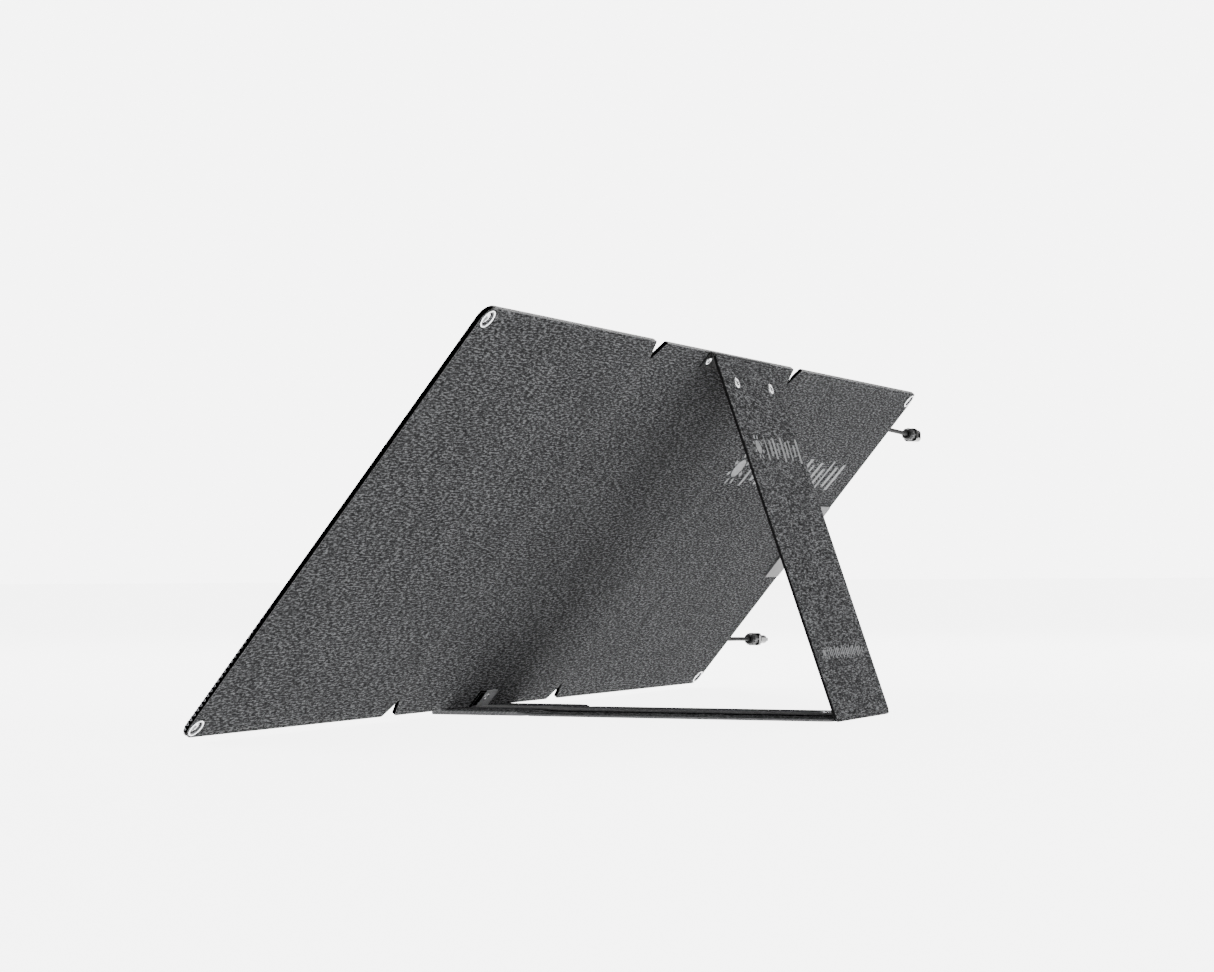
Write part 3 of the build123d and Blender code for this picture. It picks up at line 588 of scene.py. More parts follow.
def lathe(profile, centre_x, centre_y, place, sides=48):
    """Points and faces of a turned shape: profile of (radius, height) pairs, closed on itself."""
    points, faces = [], []
    for r, h in profile:
        for k in range(sides):
            angle = 2 * pi * k / sides
            points.append(place(centre_x + r * cos(angle), centre_y + r * sin(angle), h))
    rows = len(profile)
    for i in range(rows):
        for k in range(sides):
            a, b = i * sides + k, i * sides + (k + 1) % sides
            c, d = ((i + 1) % rows) * sides + k, ((i + 1) % rows) * sides + (k + 1) % sides
            faces.append((a, b, d, c))
    return points, faces


def merge(name, shapes, material, angle=45.0):
    """One mesh object from several (points, faces) pairs."""
    points, faces = [], []
    for more_points, more_faces in shapes:
        shift = len(points)
        points += more_points
        faces += [tuple(i + shift for i in f) for f in more_faces]
    return make_object(name, points, faces, [material], angle)


def arc(cx, cy, r, a0, a1, steps):
    """Arc of (radius, height) pairs, angles in degrees."""
    angles = (radians(a0 + (a1 - a0) * k / steps) for k in range(steps + 1))
    return [(cx + r * cos(a), cy + r * sin(a)) for a in angles]


def finish_piece(piece, body, slot_name, *replaced):
    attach(piece, body)
    if replaced:
        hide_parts(*replaced)
    return piece


# ---- output leads -------------------------------------------------------------------------------------
LEAD_JACKET = moulded("lead_jacket", 0.004, 0.6, 900.0, 0.00006, shine=0.05)
LEADS = {
    "positive": ("socket", [(-0.686, 0.04943, 0.37290), (-0.748, 0.04943, 0.37230),
                            (-0.811, 0.04943, 0.37030)]),
    "negative": ("plug", [(-0.686, -0.20171, 0.06932), (-0.748, -0.20171, 0.06872),
                          (-0.811, -0.20171, 0.06672)]),
}
for pole, (kind, route) in LEADS.items():
    curve = bpy.data.curves.new(f"{pole}_cable", "CURVE")
    curve.dimensions = "3D"
    curve.bevel_depth = 0.003
    curve.bevel_resolution = 5
    curve.resolution_u = 24
    curve.use_fill_caps = True
    spline = curve.splines.new("NURBS")
    spline.points.add(len(route) - 1)
    for spline_point, p in zip(spline.points, route):
        spline_point.co = (*p, 1.0)
    spline.order_u = 3
    spline.use_endpoint_u = True
    curve.materials.append(LEAD_JACKET)
    cable = bpy.data.objects.new(f"{pole}_cable", curve)
    scene.collection.objects.link(cable)
    finish_piece(cable, "service", "lead_jacket", f"{pole}_lead")

# ---- panel segments -----------------------------------------------------------------------------------
EYELET_INSET = 13.0
HEM_SEAM_X = SERVICE[0] + 22.0
EDGE_SEAM = 5.2
BINDING_SHOWS = 0.9     # black binding that shows round the back cloth
BORDER_LOW = 4.2


def segment_outline(x0, x1, halves, step=12.0):
    """Outline of one segment: rounded free corners, and a chamfer where it borders a V notch."""
    points, radii = [], []
    for at_top in (False, True):
        edge, down = (HEIGHT, -1) if at_top else (0.0, 1)
        for x in (x1, x0) if at_top else (x0, x1):
            half = halves[0] if x == x0 else halves[1]
            inward = 1 if x == x0 else -1
            if half is None:
                points.append((x, edge))
                radii.append(16.0)
                continue
            shoulder = (x + inward * (NOTCH_HALF - half), edge)
            flank = (x, edge + down * NOTCH_DEPTH * (1 - half / NOTCH_HALF))
            pair = [flank, shoulder] if (x == x0) != at_top else [shoulder, flank]
            points += pair
            radii += [5.0 if p == shoulder else 1.0 for p in pair]
    return rounded_outline(points, radii, step)


def circle(x, y, r, count=40):
    return [Vector((x + r * cos(2 * pi * k / count), y + r * sin(2 * pi * k / count))) for k in range(count)]


def window_of(name, beyond):
    """Limits of a segment's window, widened by a margin: low x, high x, low v, high v."""
    return MIDDLES[name] - 190 - beyond, MIDDLES[name] + 190 + beyond, 27.0 - beyond, 510.0 + beyond


def wing_hem(x):
    """Rise of the doubled hem along the plain wing's outer edge."""
    return 0.5 * max(0.0, min(1.0, (x - WING[1] + 9.0) / 4.0))


def segment(name, span, halves, eyelet_x):
    """Back cloth and front border of one segment, with their stitching."""
    x0, x1 = span
    outline = segment_outline(x0, x1, halves)
    eyelets = [(eyelet_x, v) for v in (EYELET_INSET, HEIGHT - EYELET_INSET)] if eyelet_x else []
    holes = [circle(x, v, 6.6) for x, v in eyelets]
    low_x, high_x, low_v, high_v = window_of(name, 0.0)
    window = rectangle(low_x, high_x, low_v, high_v, 4.0)

    def back(x, y, out_d):
        hem_seam = 0.405 / (1.0 + ((x - HEM_SEAM_X) / 0.6) ** 2) if name == "service" else 0.0
        edge_seam = 0.25 * max(0.0, 1 - abs(out_d - EDGE_SEAM) / 1.6)
        uneven = ripple(x, y, 70.0, 0.10, x1) * min(out_d / 20, 1)
        return min(roll_over(out_d, 0.4) + edge_seam + hem_seam + uneven, 0.74)

    cloth = sewn_plate(f"{name}_cloth", inset(outline, BINDING_SHOWS), panel, back, lambda *at: 0.79,
                       [PANEL_CLOTH], rims=(0.1, 0.25, 0.45, 3.4, EDGE_SEAM, 7.0), holes=holes,
                       hole_rims=(4.2,), step=11.0)
    finish_piece(cloth, name, "heather_cloth", f"{name}_back_cloth")

    def front(x, y, out_d):
        puff = 0.048 * noise.noise(Vector((x / 9.0, y / 9.0, 3.0))) * min(out_d / 4, 1)
        from_window = hypot(max(low_x - x, 0, x - high_x), max(low_v - y, 0, y - high_v))
        hem = wing_hem(x) if name == "wing" else 0.0
        return THICK + hem - roll_over(out_d, 0.8) - roll_over(from_window, 0.8) + puff

    def under(x, y, out_d):
        return 0.1 if out_d < 0.88 else 0.8 if out_d < 1.3 else BORDER_LOW

    border = sewn_plate(f"{name}_front_border", outline, panel, under, front, [BORDER_CLOTH, BLACK_BINDING_AND_SHADOW],
                        rims=(0.1, 0.35, 0.8, 0.92, 1.25, 1.4, 2.6), holes=[window] + holes,
                        hole_rims=(0.15, 0.45, 0.9), step=8.0)
    for polygon in border.data.polygons:
        if abs(polygon.normal.x) > 0.3:
            polygon.material_index = 1
    finish_piece(border, name, "border_cloth", f"{name}_border")

    threads = Threads()
    threads.run(inset(window, -3.0), panel, THICK, 1, close=True)
    finish_piece(threads.build(f"{name}_window_stitches", GREY_THREAD), name, "border_cloth")

    back_seam = Threads()
    back_seam.run(inset(outline, EDGE_SEAM), panel, 0.22, -1, length=3.0, gap=1.2, radius=0.22, close=True)
    if name == "service":
        seam = [Vector((HEM_SEAM_X, v)) for v in np.linspace(6, HEIGHT - 6, 60)]
        back_seam.run(seam, panel, 0.25, -1, length=3.0, gap=1.0, radius=0.24)
    finish_piece(back_seam.build(f"{name}_edge_stitches", GREY_THREAD), name, "heather_cloth")


def overcast(name, body, outline, strength):
    """Overcast stitches over the front edge: up from the side wall and on to the border."""
    threads = Threads()
    marks = [0.0]
    for a, b in zip(outline, outline[1:] + outline[:1]):
        marks.append(marks[-1] + (b - a).length)
    pitch = 6.2
    inner = inset(outline, 3.6)
    for i in range(int(marks[-1] / pitch)):
        s = i * pitch
        k = min(int(np.searchsorted(marks, s, side="right")) - 1, len(outline) - 1)
        t = (s - marks[k]) / (marks[k + 1] - marks[k])
        nxt = (k + 1) % len(outline)
        edge = outline[k].lerp(outline[nxt], t)
        within = inner[k].lerp(inner[nxt], t)
        along = (outline[nxt] - outline[k]).normalized()
        out = Vector((along.y, -along.x))
        amount = strength(edge.x, edge.y)
        if amount < 0.02:
            continue
        r = 0.20 + 0.18 * amount
        proud = 0.02 + 0.62 * amount
        drawn = 0.5 * (1 - amount)
        low_n = 4.75 - 2.6 * amount
        hem_n = THICK + wing_hem(within.x)
        foot = edge - along * 1.4 - out * (0.1 + 0.6 * (1 - amount))
        rising = [(within + along * 1.2, hem_n - 0.1),
                  (within.lerp(edge, 0.45) + along * 0.7, hem_n + r * 0.6),
                  (edge - out * 0.6 + along * 0.2, hem_n + proud * 0.3),
                  (edge + out * (proud * 0.7 - drawn), hem_n - 0.25 - 0.5 * amount),
                  (edge - along * 1.4 + out * (proud * 0.5 - drawn * 0.9), low_n + 0.3),
                  (foot, low_n)]
        returning = [(foot, low_n),
                     (edge - along * 2.4 + out * (proud * 0.5 - drawn), min(low_n + 0.7, 4.8)),
                     (edge - along * 3.4 + out * (proud * 0.4 - drawn), 4.8 - 0.5 * amount),
                     (within - along * 3.2, hem_n - 0.05)]
        for route, radius in ((rising, r), (returning, r * 0.9)):
            threads.tube([panel(*place, n) for place, n in route], radius * MM)
    finish_piece(threads.build(name, LIGHT_THREAD), body, "border_cloth")


segment("wing", WING, (5.0, None), WING[1] - EYELET_INSET)
segment("centre", CENTRE, (8.5, 5.0), None)
segment("service", SERVICE, (None, 8.5), SERVICE[0] + EYELET_INSET)


def toward_low_corner(x, v):
    """Overcasting stands proudest at the plain wing's lower corner."""
    return max(0.0, min(1.0, 1.12 - v / 215.0)) if x >= 640.0 else 0.0


overcast("wing_overcast", "wing", segment_outline(*WING, (5.0, None)), toward_low_corner)

# ---- fold webs ----------------------------------------------------------------------------------------
RIBBON = metal("tinned_ribbon", (0.72, 0.72, 0.74), 0.25, 0.15, (200, 900, 900))


def fold_web(name, x0, x1, a):
    """Cloth spine between two segments, a shallow valley, and its flat jumpers."""
    middle, half = (x0 + x1) / 2, (x1 - x0) / 2
    rise = NOTCH_DEPTH * half / NOTCH_HALF
    low, high = NOTCH_DEPTH, HEIGHT - NOTCH_DEPTH
    corners = [(x0, low - rise), (middle, low), (x1, low - rise),
               (x1, high + rise), (middle, high), (x0, high + rise)]
    outline = rounded_outline(corners, [0.4, 1.2, 0.4, 0.4, 1.2, 0.4], 8.0)

    def valley(x, y, out_d):
        return 0.04 + 0.20 * sin(pi * (x - x0) / (x1 - x0)) ** 2 + ripple(x, y, 25.0, 0.05, 2.0)

    web = sewn_plate(f"{name}_cloth_spine", outline, panel, valley, lambda *at: 0.76, [PANEL_CLOTH],
                     rims=(0.6,), step=2.4)
    jumper_points, jumper_faces = [], []
    for v in (HEIGHT / 2 - 150.0, HEIGHT / 2 + 150.0):
        xs = np.linspace(x0 + 0.5, x1 - 0.5, 9)
        first = len(jumper_points)
        for x in xs:
            for dv, n in ((-6.0, 0.42), (6.0, 0.42), (6.0, 0.55), (-6.0, 0.55)):
                jumper_points.append(panel(x, v + dv, n))
        for i in range(len(xs) - 1):
            for k in range(4):
                p, q = first + i * 4 + k, first + i * 4 + (k + 1) % 4
                jumper_faces.append((p, q, q + 4, p + 4))
        end = first + (len(xs) - 1) * 4
        jumper_faces += [(first + 3, first + 2, first + 1, first), (end, end + 1, end + 2, end + 3)]
    jumpers = make_object(f"{name}_flat_jumpers", jumper_points, jumper_faces, [RIBBON])
    start, end = panel(x0, HEIGHT / 2, 0.4), panel(x1, HEIGHT / 2, 0.4)
    if a == "centre" and x0 < 0:
        start, end = end, start
    for piece, slot_name, node in ((web, "heather_cloth", f"{name}_cloth"),
                                   (jumpers, "ribbon", f"{name}_jumpers")):
        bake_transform(piece)
        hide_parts(node)


fold_web("wing_web", CENTRE[1], WING[0], "centre")
fold_web("service_web", SERVICE[1], CENTRE[0], "centre")

# ---- eyelets and press studs --------------------------------------------------------------------------
FLANGE = [(8.3, 0.4)] + arc(8.85, -0.4, 0.55, 180, 270, 6)
FLANGE += arc(9.45, -0.4, 0.55, 270, 360, 6) + [(10.0, 0.1), (9.0, 0.5)]
THROAT = [(8.35, 0.42), (8.35, -0.25), (7.9, -0.2), (7.3, 0.15), (6.9, 0.7), (6.72, 1.3),
          (7.0, 1.35), (7.3, 0.9), (7.8, 0.55)]
BARREL = [(5.5, 4.8), (5.5, 3.0)] + arc(6.1, 2.55, 0.6, 180, 270, 4)
BARREL += [(6.7, 2.2), (6.75, 2.6), (6.1, 3.0), (5.95, 4.8)]
WASHER = [(5.5, 4.7)] + arc(6.3, 5.2, 0.75, 180, 90, 5) + [(8.6, 5.92)]
WASHER += arc(9.5, 5.4, 0.5, 90, 0, 5) + [(10.0, 5.02), (7.6, 4.7), (6.6, 4.55)]
# Thin dark ring in the eyelet's bore: painted shade where the bore falls into shadow.
SHADE_RING_PROFILE = [(6.9, 1.2), (6.7, 1.4), (6.7, 3.2), (7.1, 3.2), (7.1, 1.4)]
for body, x in (("wing", WING[1] - EYELET_INSET), ("service", SERVICE[0] + EYELET_INSET)):
    rings, throats, shade_rings = [], [], []
    for v in (EYELET_INSET, HEIGHT - EYELET_INSET):
        rings += [lathe(shape, x, v, panel, 64) for shape in (FLANGE, BARREL, WASHER[::-1])]
        throats.append(lathe(THROAT, x, v, panel, 64))
        shade_rings.append(lathe(SHADE_RING_PROFILE, x, v, panel, 48))
    finish_piece(merge(f"{body}_eyelet_rings", rings, NICKEL, 50.0), body, "eyelet_steel", f"{body}_eyelets")
    # The throats take the dark metal copy: painted shade on the eyelets' inner curl.
    finish_piece(merge(f"{body}_eyelet_throats", throats, THROAT_PAINTED_SHADE, 50.0), body, "eyelet_steel")
    finish_piece(merge(f"{body}_eyelet_painted_shade_rings", shade_rings, PAINTED_SHADE_CLOTH, 50.0), body, "border_cloth")


def stud_profile(face, way, radius, height):
    """Cap of a press stud: rolled rim, rounded crest, dimple and a small centre boss."""
    crest = radius * 0.74
    shape = [(0.05, 0.0), (radius * 0.97, 0.0), (radius, height * 0.12), (radius * 0.99, height * 0.3)]
    shape += [(crest + radius * 0.26 * cos(radians(a)), height * 0.55 + height * 0.45 * sin(radians(a)))
              for a in range(0, 181, 20)]
    shape += [(radius * 0.42, height * 0.42), (radius * 0.30, height * 0.34), (radius * 0.20, height * 0.42),
              (radius * 0.12, height * 0.55), (0.05, height * 0.6)]
    return [(r, face + way * h) for r, h in shape]


STUD_X, LEG_STUD_W = (-34.0, 78.0), 408.1
TAB_STUD, STRAP_STUD = (32.0, 17.3), (32.0, 211.5)
leg_caps = [lathe(stud_profile(0.0, -1, 6.2, 1.8), x, LEG_STUD_W, leg) for x in STUD_X]
leg_caps += [lathe(stud_profile(LEG_T, 1, 5.0, 0.6), x, LEG_STUD_W, leg) for x in STUD_X]
finish_piece(merge("leg_press_studs", leg_caps, NICKEL), "leg", "snap_metal", "leg_studs")
# Dark disc in each leg stud's dimple: painted shade in the stud's hollow.
DIMPLE = [(1.15, -0.62), (3.15, -0.62), (3.3, -1.25), (3.0, -1.3), (2.8, -0.98), (1.4, -0.98), (1.15, -1.0)]
dimples = [lathe(DIMPLE, x, LEG_STUD_W, leg) for x in STUD_X]
finish_piece(merge("leg_stud_dimple_painted_shade", dimples, PAINTED_SHADE_CLOTH), "leg", "snap_metal")
flap_caps = [lathe(stud_profile(-1.6, -1, 5.0, 1.2), x, 526.5, panel) for x in (-64.0, 108.0)]
flap_caps.append(lathe(stud_profile(-1.6, -1, 5.0, 1.2), *TAB_STUD, panel))
finish_piece(merge("panel_press_studs", flap_caps, NICKEL), "centre", "snap_metal", "panel_studs")
STRAP_BACK = [(0.05, 2.5), (6.2, 2.5), (6.2, 2.9), (5.2, 3.3), (4.6, 3.6), (0.05, 3.6)]
strap_caps = [lathe(shape, *STRAP_STUD, ground) for shape in (stud_profile(5.2, 1, 6.2, 1.4), STRAP_BACK)]
finish_piece(merge("strap_press_stud", strap_caps, NICKEL), "base", "snap_metal", "strap_studs")

# ---- flap and tab -------------------------------------------------------------------------------------


def soft_faces(low_face, high_face, radius, seam_at=None, seam_depth=0.18, wave=0.08, seed=0.0):
    """Both faces of a sewn layer between two levels, rounded at the edge, pressed in along its seam."""
    def press(d):
        return seam_depth * max(0.0, 1 - abs(d - seam_at) / 1.3) if seam_at else 0.0

    def low(x, y, d):
        return low_face + roll_over(d, radius) + press(d) + ripple(x, y, 22.0, wave, seed) * min(d / 6, 1)

    def high(x, y, d):
        return high_face - roll_over(d, radius) - press(d)

    return low, high


def stitched(name, material, body, slot_name, *runs):
    """Piece made of running stitches, one run for each set of arguments."""
    threads = Threads()
    for run in runs:
        threads.run(*run, close=True)
    finish_piece(threads.build(name, material), body, slot_name)


FLAP_OUTLINE = rectangle(*STAND, 515.0, 536.0, 3.0, 5.0)
flap = sewn_plate("top_stowage_flap", FLAP_OUTLINE, panel, *soft_faces(-1.6, 0.0, 0.7, 3.0), [FLAP_CLOTH_AND_SHADE],
                  rims=(0.12, 0.4, 0.75, 1.7, 3.0, 4.3), step=4.0)
finish_piece(flap, "centre", "border_cloth", "top_flap")
TAB_OUTLINE = rectangle(*STRAP, 1.5, 27.0, 3.0, 4.0)
tab = sewn_plate("bottom_strap_tab", TAB_OUTLINE, panel, *soft_faces(-1.6, 0.0, 0.6, 2.4),
                 [TAB_WEBBING_PAINTED_LIGHT, BLACK_BINDING_AND_SHADOW], rims=(0.12, 0.4, 0.65, 1.4, 2.4, 3.6), step=3.0)
# Faces beyond x = 41 mm take the near-black cloth: a painted shadow on the tab's left part, where it stands
# off the panel.
for polygon in tab.data.polygons:
    if polygon.center.x > 41.0 * MM:
        polygon.material_index = 1
finish_piece(tab, "centre", "heather_cloth", "bottom_tab")
stitched("top_flap_stitches", DARK_THREAD, "centre", "border_cloth",
         (inset(FLAP_OUTLINE, 3.0), panel, -1.42, -1, 2.8, 1.0, 0.22))
stitched("bottom_tab_stitches", GREY_THREAD, "centre", "heather_cloth",
         (inset(TAB_OUTLINE, 2.4), panel, -1.42, -1, 2.4, 0.9, 0.2))

# ---- leg ----------------------------------------------------------------------------------------------
STAND_SEAM = 4.6
leg_outline = rectangle(*STAND, 0.8, LEG_TOP, 8.0)
sleeve = sewn_plate("leg_cloth_sleeve", leg_outline, leg,
                    *soft_faces(0.0, LEG_T, 0.9, STAND_SEAM, 0.22, 0.14, 5.0), [LEG_CLOTH, EDGING],
                    rims=(0.12, 0.4, 0.9, 2.6, 3.6, STAND_SEAM, 5.8), step=9.0, edge_slot=0.45)
finish_piece(sleeve, "leg", "heather_cloth", "leg_sleeve")
seam_line = inset(leg_outline, STAND_SEAM)
stitched("leg_edge_stitches", GREY_THREAD, "leg", "heather_cloth",
         (seam_line, leg, 0.2, -1, 3.0, 1.1, 0.2), (seam_line, leg, LEG_T - 0.2, 1, 3.0, 1.1, 0.2))

# ---- base strip, end pad and tie strap ----------------------------------------------------------------
base_outline = rectangle(*STAND, -129.5, 249.5, 8.0)
base_sleeve = sewn_plate("base_cloth_sleeve", base_outline, ground,
                         *soft_faces(0.0, BASE_T, 0.8, STAND_SEAM, 0.2, 0.0, 7.0), [BASE_CLOTH, PAD_EDGING],
                         rims=(0.12, 0.4, 0.8, 2.6, 3.6, STAND_SEAM, 5.8), step=9.0, edge_slot=0.85)
finish_piece(base_sleeve, "base", "heather_cloth", "base_sleeve")
pad_outline = rectangle(*STAND, -256.5, -129.5, 8.0, 8.0)
SOCKET_Y = -151.6


def pad_low(x, y, d):
    """Underside of the pad: flat on the ground, with a pocket round each press-stud socket."""
    in_pocket = min(hypot(x - socket_x, y - SOCKET_Y) for socket_x in STUD_X) < 8.05
    return max(roll_over(d, 1.4), 2.6 if in_pocket else 0.0)


def pad_high(x, y, d):
    """Crowned top that drops to the base's thickness at its inner end."""
    bevel = max(0.0, min(1.0, (y + 138.5) / 9.0)) * (PAD_T - BASE_T)
    crown = -0.22 * (1 - min(d / 22.0, 1.0)) ** 2
    seam_press = 0.5 * max(0.0, 1 - abs(d - 4.2) / 1.6) if bevel < 0.5 else 0.0
    uneven = ripple(x, y, 26.0, 0.10, 9.0) * min(d / 8, 1)
    return PAD_T - bevel + crown - roll_over(d, 1.5) - seam_press + uneven


pad = sewn_plate("base_foam_end_pad", pad_outline, ground, pad_low, pad_high, [BASE_CLOTH, PAD_EDGING],
                 rims=(0.12, 0.4, 0.8, 1.5, 2.7, 4.2, 5.8), step=5.0, edge_slot=1.5)
finish_piece(pad, "base", "heather_cloth", "base_end_pad")
seam = Threads()
seam.run(inset(base_outline, STAND_SEAM), ground, BASE_T - 0.2, 1, 3.0, 1.1, 0.2, close=True)
seam.run([p for p in inset(pad_outline, 4.2) if p.y < -140.0], ground,
         lambda x, y: pad_high(x, y, 4.2), 1, 2.8, 1.1, 0.22)
finish_piece(seam.build("base_edge_stitches", GREY_THREAD), "base", "heather_cloth")
blanket = Threads()
PAD_END, PAD_SIDE, PAD_WIDE, STITCH = -256.5, 110.0, STAND[1] - STAND[0], 5.0
for i in range(int((PAD_WIDE + 2 * PAD_SIDE) / STITCH)):
    s = i * STITCH
    if s < PAD_SIDE:
        edge, out = Vector((STAND[1], -142.0 - s)), Vector((1, 0))
    elif s < PAD_SIDE + PAD_WIDE:
        edge, out = Vector((STAND[1] - (s - PAD_SIDE), PAD_END)), Vector((0, -1))
    else:
        edge, out = Vector((STAND[0], PAD_END + s - PAD_SIDE - PAD_WIDE)), Vector((-1, 0))
    if abs(edge.y - PAD_END) < 9 and min(abs(edge.x - x) for x in STAND) < 9:
        continue
    side = Vector((out.y, -out.x))
    route = [(edge - out * 3.2, 4.55), (edge - out * 1.1, 4.75),
             (edge + out * 0.2 + side * 1.2, 3.6), (edge + out * 0.15 + side * 2.2, 2.6)]
    blanket.tube([ground(*place, z) for place, z in route], 0.3 * MM)
finish_piece(blanket.build("base_pad_overcast", LIGHT_THREAD), "base", "heather_cloth")

strap_line = smooth_line([(-232.0, 5.8), (-138.0, 5.8), (-115.5, 4.4), (228.5, 4.4)], 7.0, 8.0)
strap = cloth_strip("tie_webbing_strap", strap_line, *STRAP, 1.6, ground, [WEBBING], wave=0.05)
finish_piece(strap, "base", "heather_cloth", "tie_strap")


def strap_top(x, y):
    """Height of the strap's upper face."""
    return float(np.interp(y, [p.x for p in strap_line], [p.y for p in strap_line])) + 0.78


seam = Threads()
for x in (STRAP[0] + 2.6, STRAP[1] - 2.6):
    seam.run([Vector((x, p.x)) for p in strap_line], ground, strap_top, 1, 2.6, 1.0, 0.2)
finish_piece(seam.build("strap_edge_stitches", GREY_THREAD), "base", "heather_cloth")


# ---- stand hinge webs ---------------------------------------------------------------------------------
def in_plane(point):
    """(y, z) of a point in metres, in millimetres."""
    return (point.y / MM, point.z / MM)


def hinge_web(name, line, cloth, node):
    """Narrow cloth between two bodies of the stand, bent along a given line round their hinge."""
    x0, x1 = STAND[0] + 1, STAND[1] - 1
    web = cloth_strip(name, line, x0, x1, 0.8, ground, [cloth], 0.8, 0.03, 24)
    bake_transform(web)
    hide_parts(node)


foot_line = smooth_line([in_plane(leg(0.0, 7.0, LEG_T / 2)), in_plane(leg(0.0, 3.4, LEG_T / 2 - 0.2)),
                         (FOOT_AXIS[0] - 1.6, 1.4), (FOOT_AXIS[0] - 3.6, 0.8),
                         (FOOT_AXIS[0] - 7.0, BASE_T / 2)], 2.0, 0.8)
hinge_web("foot_hinge_web", foot_line, LEG_CLOTH, "foot_web")
top_line = smooth_line([in_plane(panel(0.0, 536.0, -0.8)), in_plane(panel(0.0, 537.8, -1.6)),
                        in_plane(panel(0.0, 537.9, -3.2)),
                        in_plane(leg(0.0, LEG_LENGTH - 2.0, LEG_T / 2))], 1.5, 0.6)
hinge_web("top_hinge_web", top_line, FLAP_CLOTH_AND_SHADE, "top_web")

# ---- generic prints -----------------------------------------------------------------------------------


def print_marks(name, x0, x1, y0, y1, place, body):
    """Plain decoration in a print's place: a sun disc and a row of slanted bars, drawn in thin raised ink."""
    shapes = []
    height = y1 - y0
    middle = (y0 + y1) / 2
    disc_r = height * 0.26
    disc_x = x1 - height * 0.55

    def polygon(flat):
        size = len(flat)
        points = [place(x, y, height) for height in (0.0, -0.08) for x, y in flat]
        faces = [tuple(range(size)), tuple(reversed(range(size, 2 * size)))]
        faces += [(k, k + size, (k + 1) % size + size, (k + 1) % size) for k in range(size)]
        shapes.append((points, faces))

    turns = np.linspace(0, 2 * pi, 40)[:-1]
    polygon([(disc_x - disc_r * cos(a), middle + disc_r * sin(a)) for a in turns])
    for k in range(8):
        a = pi / 8 + k * pi / 4
        r0, r1, w = disc_r * 1.35, disc_r * 1.9, 0.16
        polygon([(disc_x - r * cos(a + s), middle + r * sin(a + s))
                 for r, s in ((r0, -w), (r1, -w * 0.6), (r1, w * 0.6), (r0, w))])
    span = x1 - x0 - height * 1.3
    count = max(6, int(span / (height * 0.42)))
    lean = height * 0.10
    for k in range(count):
        left = x1 - height * 1.3 - span * k / count
        wide = span / count * (0.46 if k % 3 else 0.3)
        reach = (0.5, 0.32, 0.42, 0.24)[k % 4] * height
        polygon([(left, middle - reach), (left - wide, middle - reach),
                 (left - wide - lean, middle + reach), (left - lean, middle + reach)])
    finish_piece(merge(name, shapes, PRINT, 30.0), body, "heather_cloth")


print_marks("service_print", -621.0, -199.0, 356.0, 409.0, panel, "service")
print_marks("leg_print_upper", -68.0, 92.0, LEG_TOP - 127.0, LEG_TOP - 96.0, leg, "leg")
print_marks("leg_print_lower", -53.0, 94.0, LEG_TOP - 368.0, LEG_TOP - 353.0, leg, "leg")

# ---- carried-over CAD nodes ---------------------------------------------------------------------------
PLASTIC = moulded("box_plastic", 0.018, 0.5, 1300.0)
CONNECTOR = moulded("connector_plastic", 0.004, 0.12, 700.0, 0.00004, shine=0.22)
NUT = moulded("connector_nut_plastic", 0.012, 0.4, 900.0, 0.00005, shine=0.12)
TIN = metal("contact_tin", (0.7, 0.7, 0.7), 0.3)
BOARD = laminate()
FILM = film_face()
BACKSHEET = moulded("encapsulant", 0.012, 0.35, 400.0, 0.0001)
carried = {
    "box_gaskets": moulded("gasket_rubber", 0.012, 0.8, 700.0),
    "bypass_diodes": moulded("diode_epoxy", 0.02, 0.5),
    "box_screws": metal("screw_steel", (0.6, 0.61, 0.62), 0.25),
    "cable_glands": moulded("gland_plastic", 0.016, 0.4),
    "box_terminals": metal("contact_brass", (0.72, 0.56, 0.27), 0.22),
    "carry_handle": moulded("grip_rubber", 0.03, 0.62, 1100.0, 0.0001),
    "base_sockets": NICKEL, "leg_board": BOARD, "base_board": BOARD,
}
for kind in ("plug", "socket"):
    carried |= {f"{kind}_contact": TIN, f"{kind}_connector_nut": NUT, f"{kind}_connector_body": CONNECTOR}
for pole in LEADS:
    carried |= {f"{pole}_box_base": PLASTIC, f"{pole}_box_lid": PLASTIC}
for name in MIDDLES:
    carried |= {f"{name}_core_board": BOARD, f"{name}_encapsulant": BACKSHEET, f"{name}_ribbons": RIBBON,
                f"{name}_cells": cell_face(f"{name}_silicon")}
for name, material in carried.items():
    for place in nodes[name].material_slots:
        place.material = material

# ---- clear film ---------------------------------------------------------------------------------------
CELL_HALF = (91.0, 45.5)
CELL_PITCH = (186.0, 95.0)


def cell_span(centres, half, low, high):
    """Grid lines along one axis: close together at the cells' edges, wider across each cell."""
    marks = {low, high}
    for centre in centres:
        marks |= {centre + side * (half + d) for side in (-1, 1) for d in (-0.8, 0.8, 2.0)}
        marks |= set(np.linspace(centre - half + 6.0, centre + half - 6.0, 12))
    return sorted(m for m in marks if low <= m <= high)


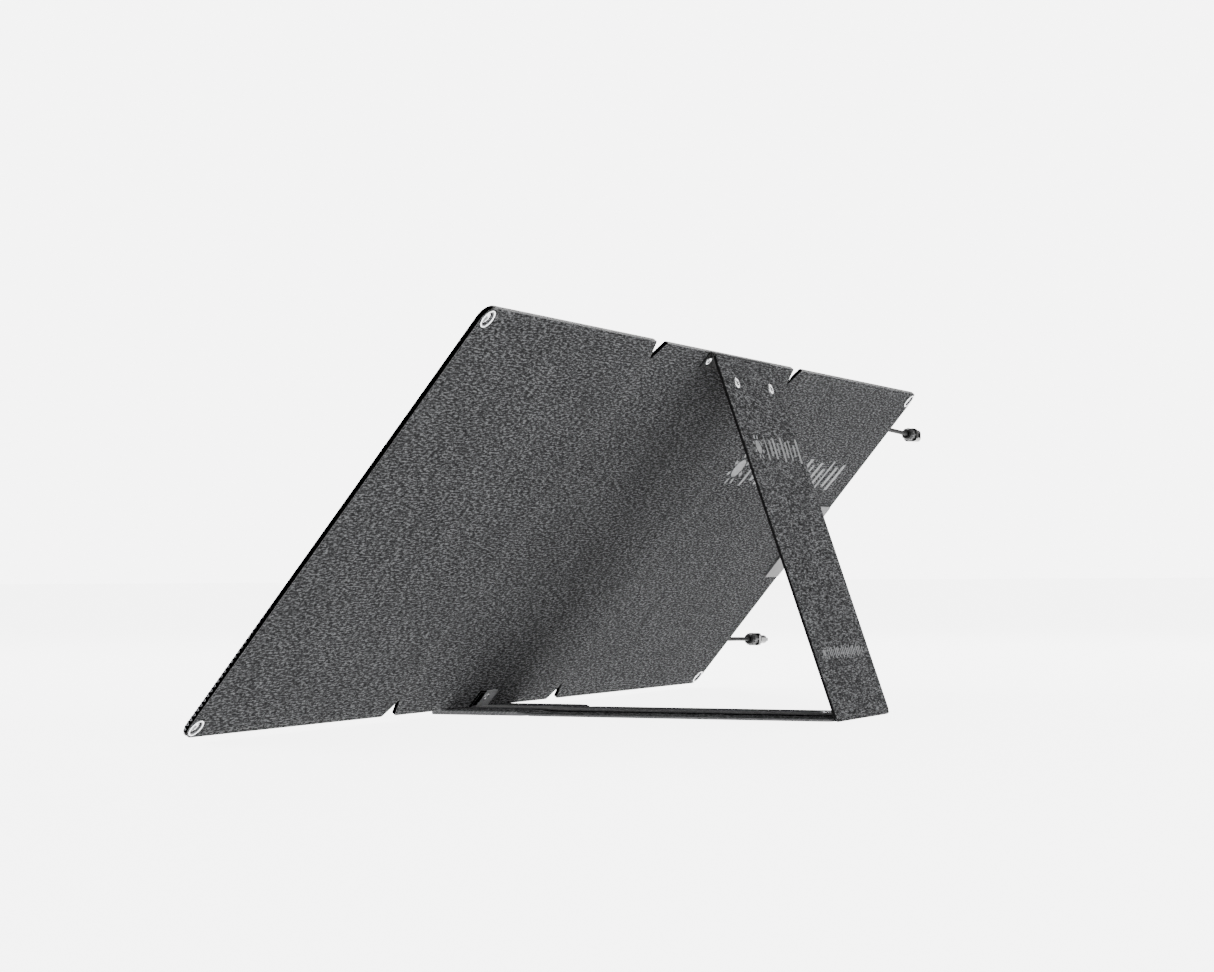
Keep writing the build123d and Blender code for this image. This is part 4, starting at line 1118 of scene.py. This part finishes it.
def film_sheet(name):
    """Clear film over one segment's window, pressed down a little between the cells."""
    column_centres = [MIDDLES[name] + side * CELL_PITCH[0] / 2 for side in (-1, 1)]
    row_centres = [HEIGHT / 2 + k * CELL_PITCH[1] for k in range(-2, 3)]
    low_x, high_x, low_v, high_v = window_of(name, 4.0)
    xs = cell_span(column_centres, CELL_HALF[0], low_x, high_x)
    vs = cell_span(row_centres, CELL_HALF[1], low_v, high_v)

    def surface(x, v):
        within = min(max(CELL_HALF[0] - abs(x - c) for c in column_centres),
                     max(CELL_HALF[1] - abs(v - c) for c in row_centres))
        return 4.02 + 0.13 * max(0.0, min(1.0, 0.5 + within / 1.6))

    wide, size = len(xs), len(xs) * len(vs)
    points = [panel(x, v, surface(x, v)) for v in vs for x in xs]
    points += [panel(x, v, 3.74) for v in vs for x in xs]
    faces = []
    for j in range(len(vs) - 1):
        for i in range(wide - 1):
            quad = [j * wide + i + step for step in (0, 1, wide + 1, wide)]
            faces += [tuple(quad), tuple(size + k for k in (quad[0], quad[3], quad[2], quad[1]))]
    rim = [i for i in range(wide)] + [j * wide + wide - 1 for j in range(1, len(vs))]
    rim += [size - 1 - i for i in range(1, wide)] + [j * wide for j in range(len(vs) - 2, 0, -1)]
    faces += [(b, a, a + size, b + size) for a, b in zip(rim, rim[1:] + rim[:1])]
    return make_object(f"{name}_clear_film", points, faces, [FILM])


for name in MIDDLES:
    finish_piece(film_sheet(name), name, "clear_film", f"{name}_front_film")

# ---- studio -------------------------------------------------------------------------------------------
world = bpy.data.worlds.new("studio")
world.use_nodes = True
world.node_tree.nodes["Background"].inputs["Color"].default_value = (1.0, 1.0, 1.0, 1.0)
world.node_tree.nodes["Background"].inputs["Strength"].default_value = 0.60
scene.world = world


def studio_shell(name, shader_name, glow, hidden_from):
    """Pale surface of the studio: lit white, with a glow that is kept off the cloth."""
    s = Shader(shader_name, Roughness=0.9, Specular_IOR_Level=0.1, Emission_Strength=glow)
    s.into("Emission Color").default_value = (1, 1, 1, 1)
    tone = s.noise(s.coords(0.0, (0.4, 0.4, 0.4)))
    s.link(s.ramp(tone, [(0.3, 0.88), (0.7, 0.92)]), s.into("Base Color"))
    shell = bpy.context.object
    shell.name = name
    shell.data.materials.append(s.material)
    for ray in hidden_from:
        setattr(shell, f"visible_{ray}", False)
    return shell


bpy.ops.mesh.primitive_circle_add(vertices=96, radius=60.0, fill_type="NGON", location=(0, 0, -0.0006))
studio_shell("studio_floor", "studio_floor", 5.4, ("diffuse", "transmission", "shadow"))
bpy.ops.mesh.primitive_uv_sphere_add(segments=64, ring_count=32, radius=58.0, location=(0, 0, 0))
studio_shell("studio_backdrop", "studio_backdrop", 6.0, ("diffuse", "glossy", "transmission", "shadow"))


def area_light(name, place, target, size, power):
    light = bpy.data.lights.new(name, "AREA")
    light.shape = "DISK"
    light.size = size
    light.energy = power
    lamp = bpy.data.objects.new(name, light)
    scene.collection.objects.link(lamp)
    lamp.visible_camera = False
    lamp.location = place
    lamp.rotation_euler = (Vector(target) - Vector(place)).to_track_quat("-Z", "Y").to_euler()


area_light("key", (1.4, 4.4, 3.1), (0.0, 0.05, 0.2), 1.0, 72.0)
area_light("camera_side", (3.9, 2.1, 0.5), (0.0, 0.0, 0.2), 2.2, 62.0)
area_light("top_rim", (-3.2, -0.7, 2.6), (0.2, 0.1, 0.4), 1.2, 70.0)
area_light("solar_side", (-0.6, -3.0, 2.4), (0.0, 0.0, 0.2), 2.5, 45.0)
area_light("stud_card", (-3.0, 1.3, 1.4), (0.0, 0.1, 0.3), 1.8, 20.0)
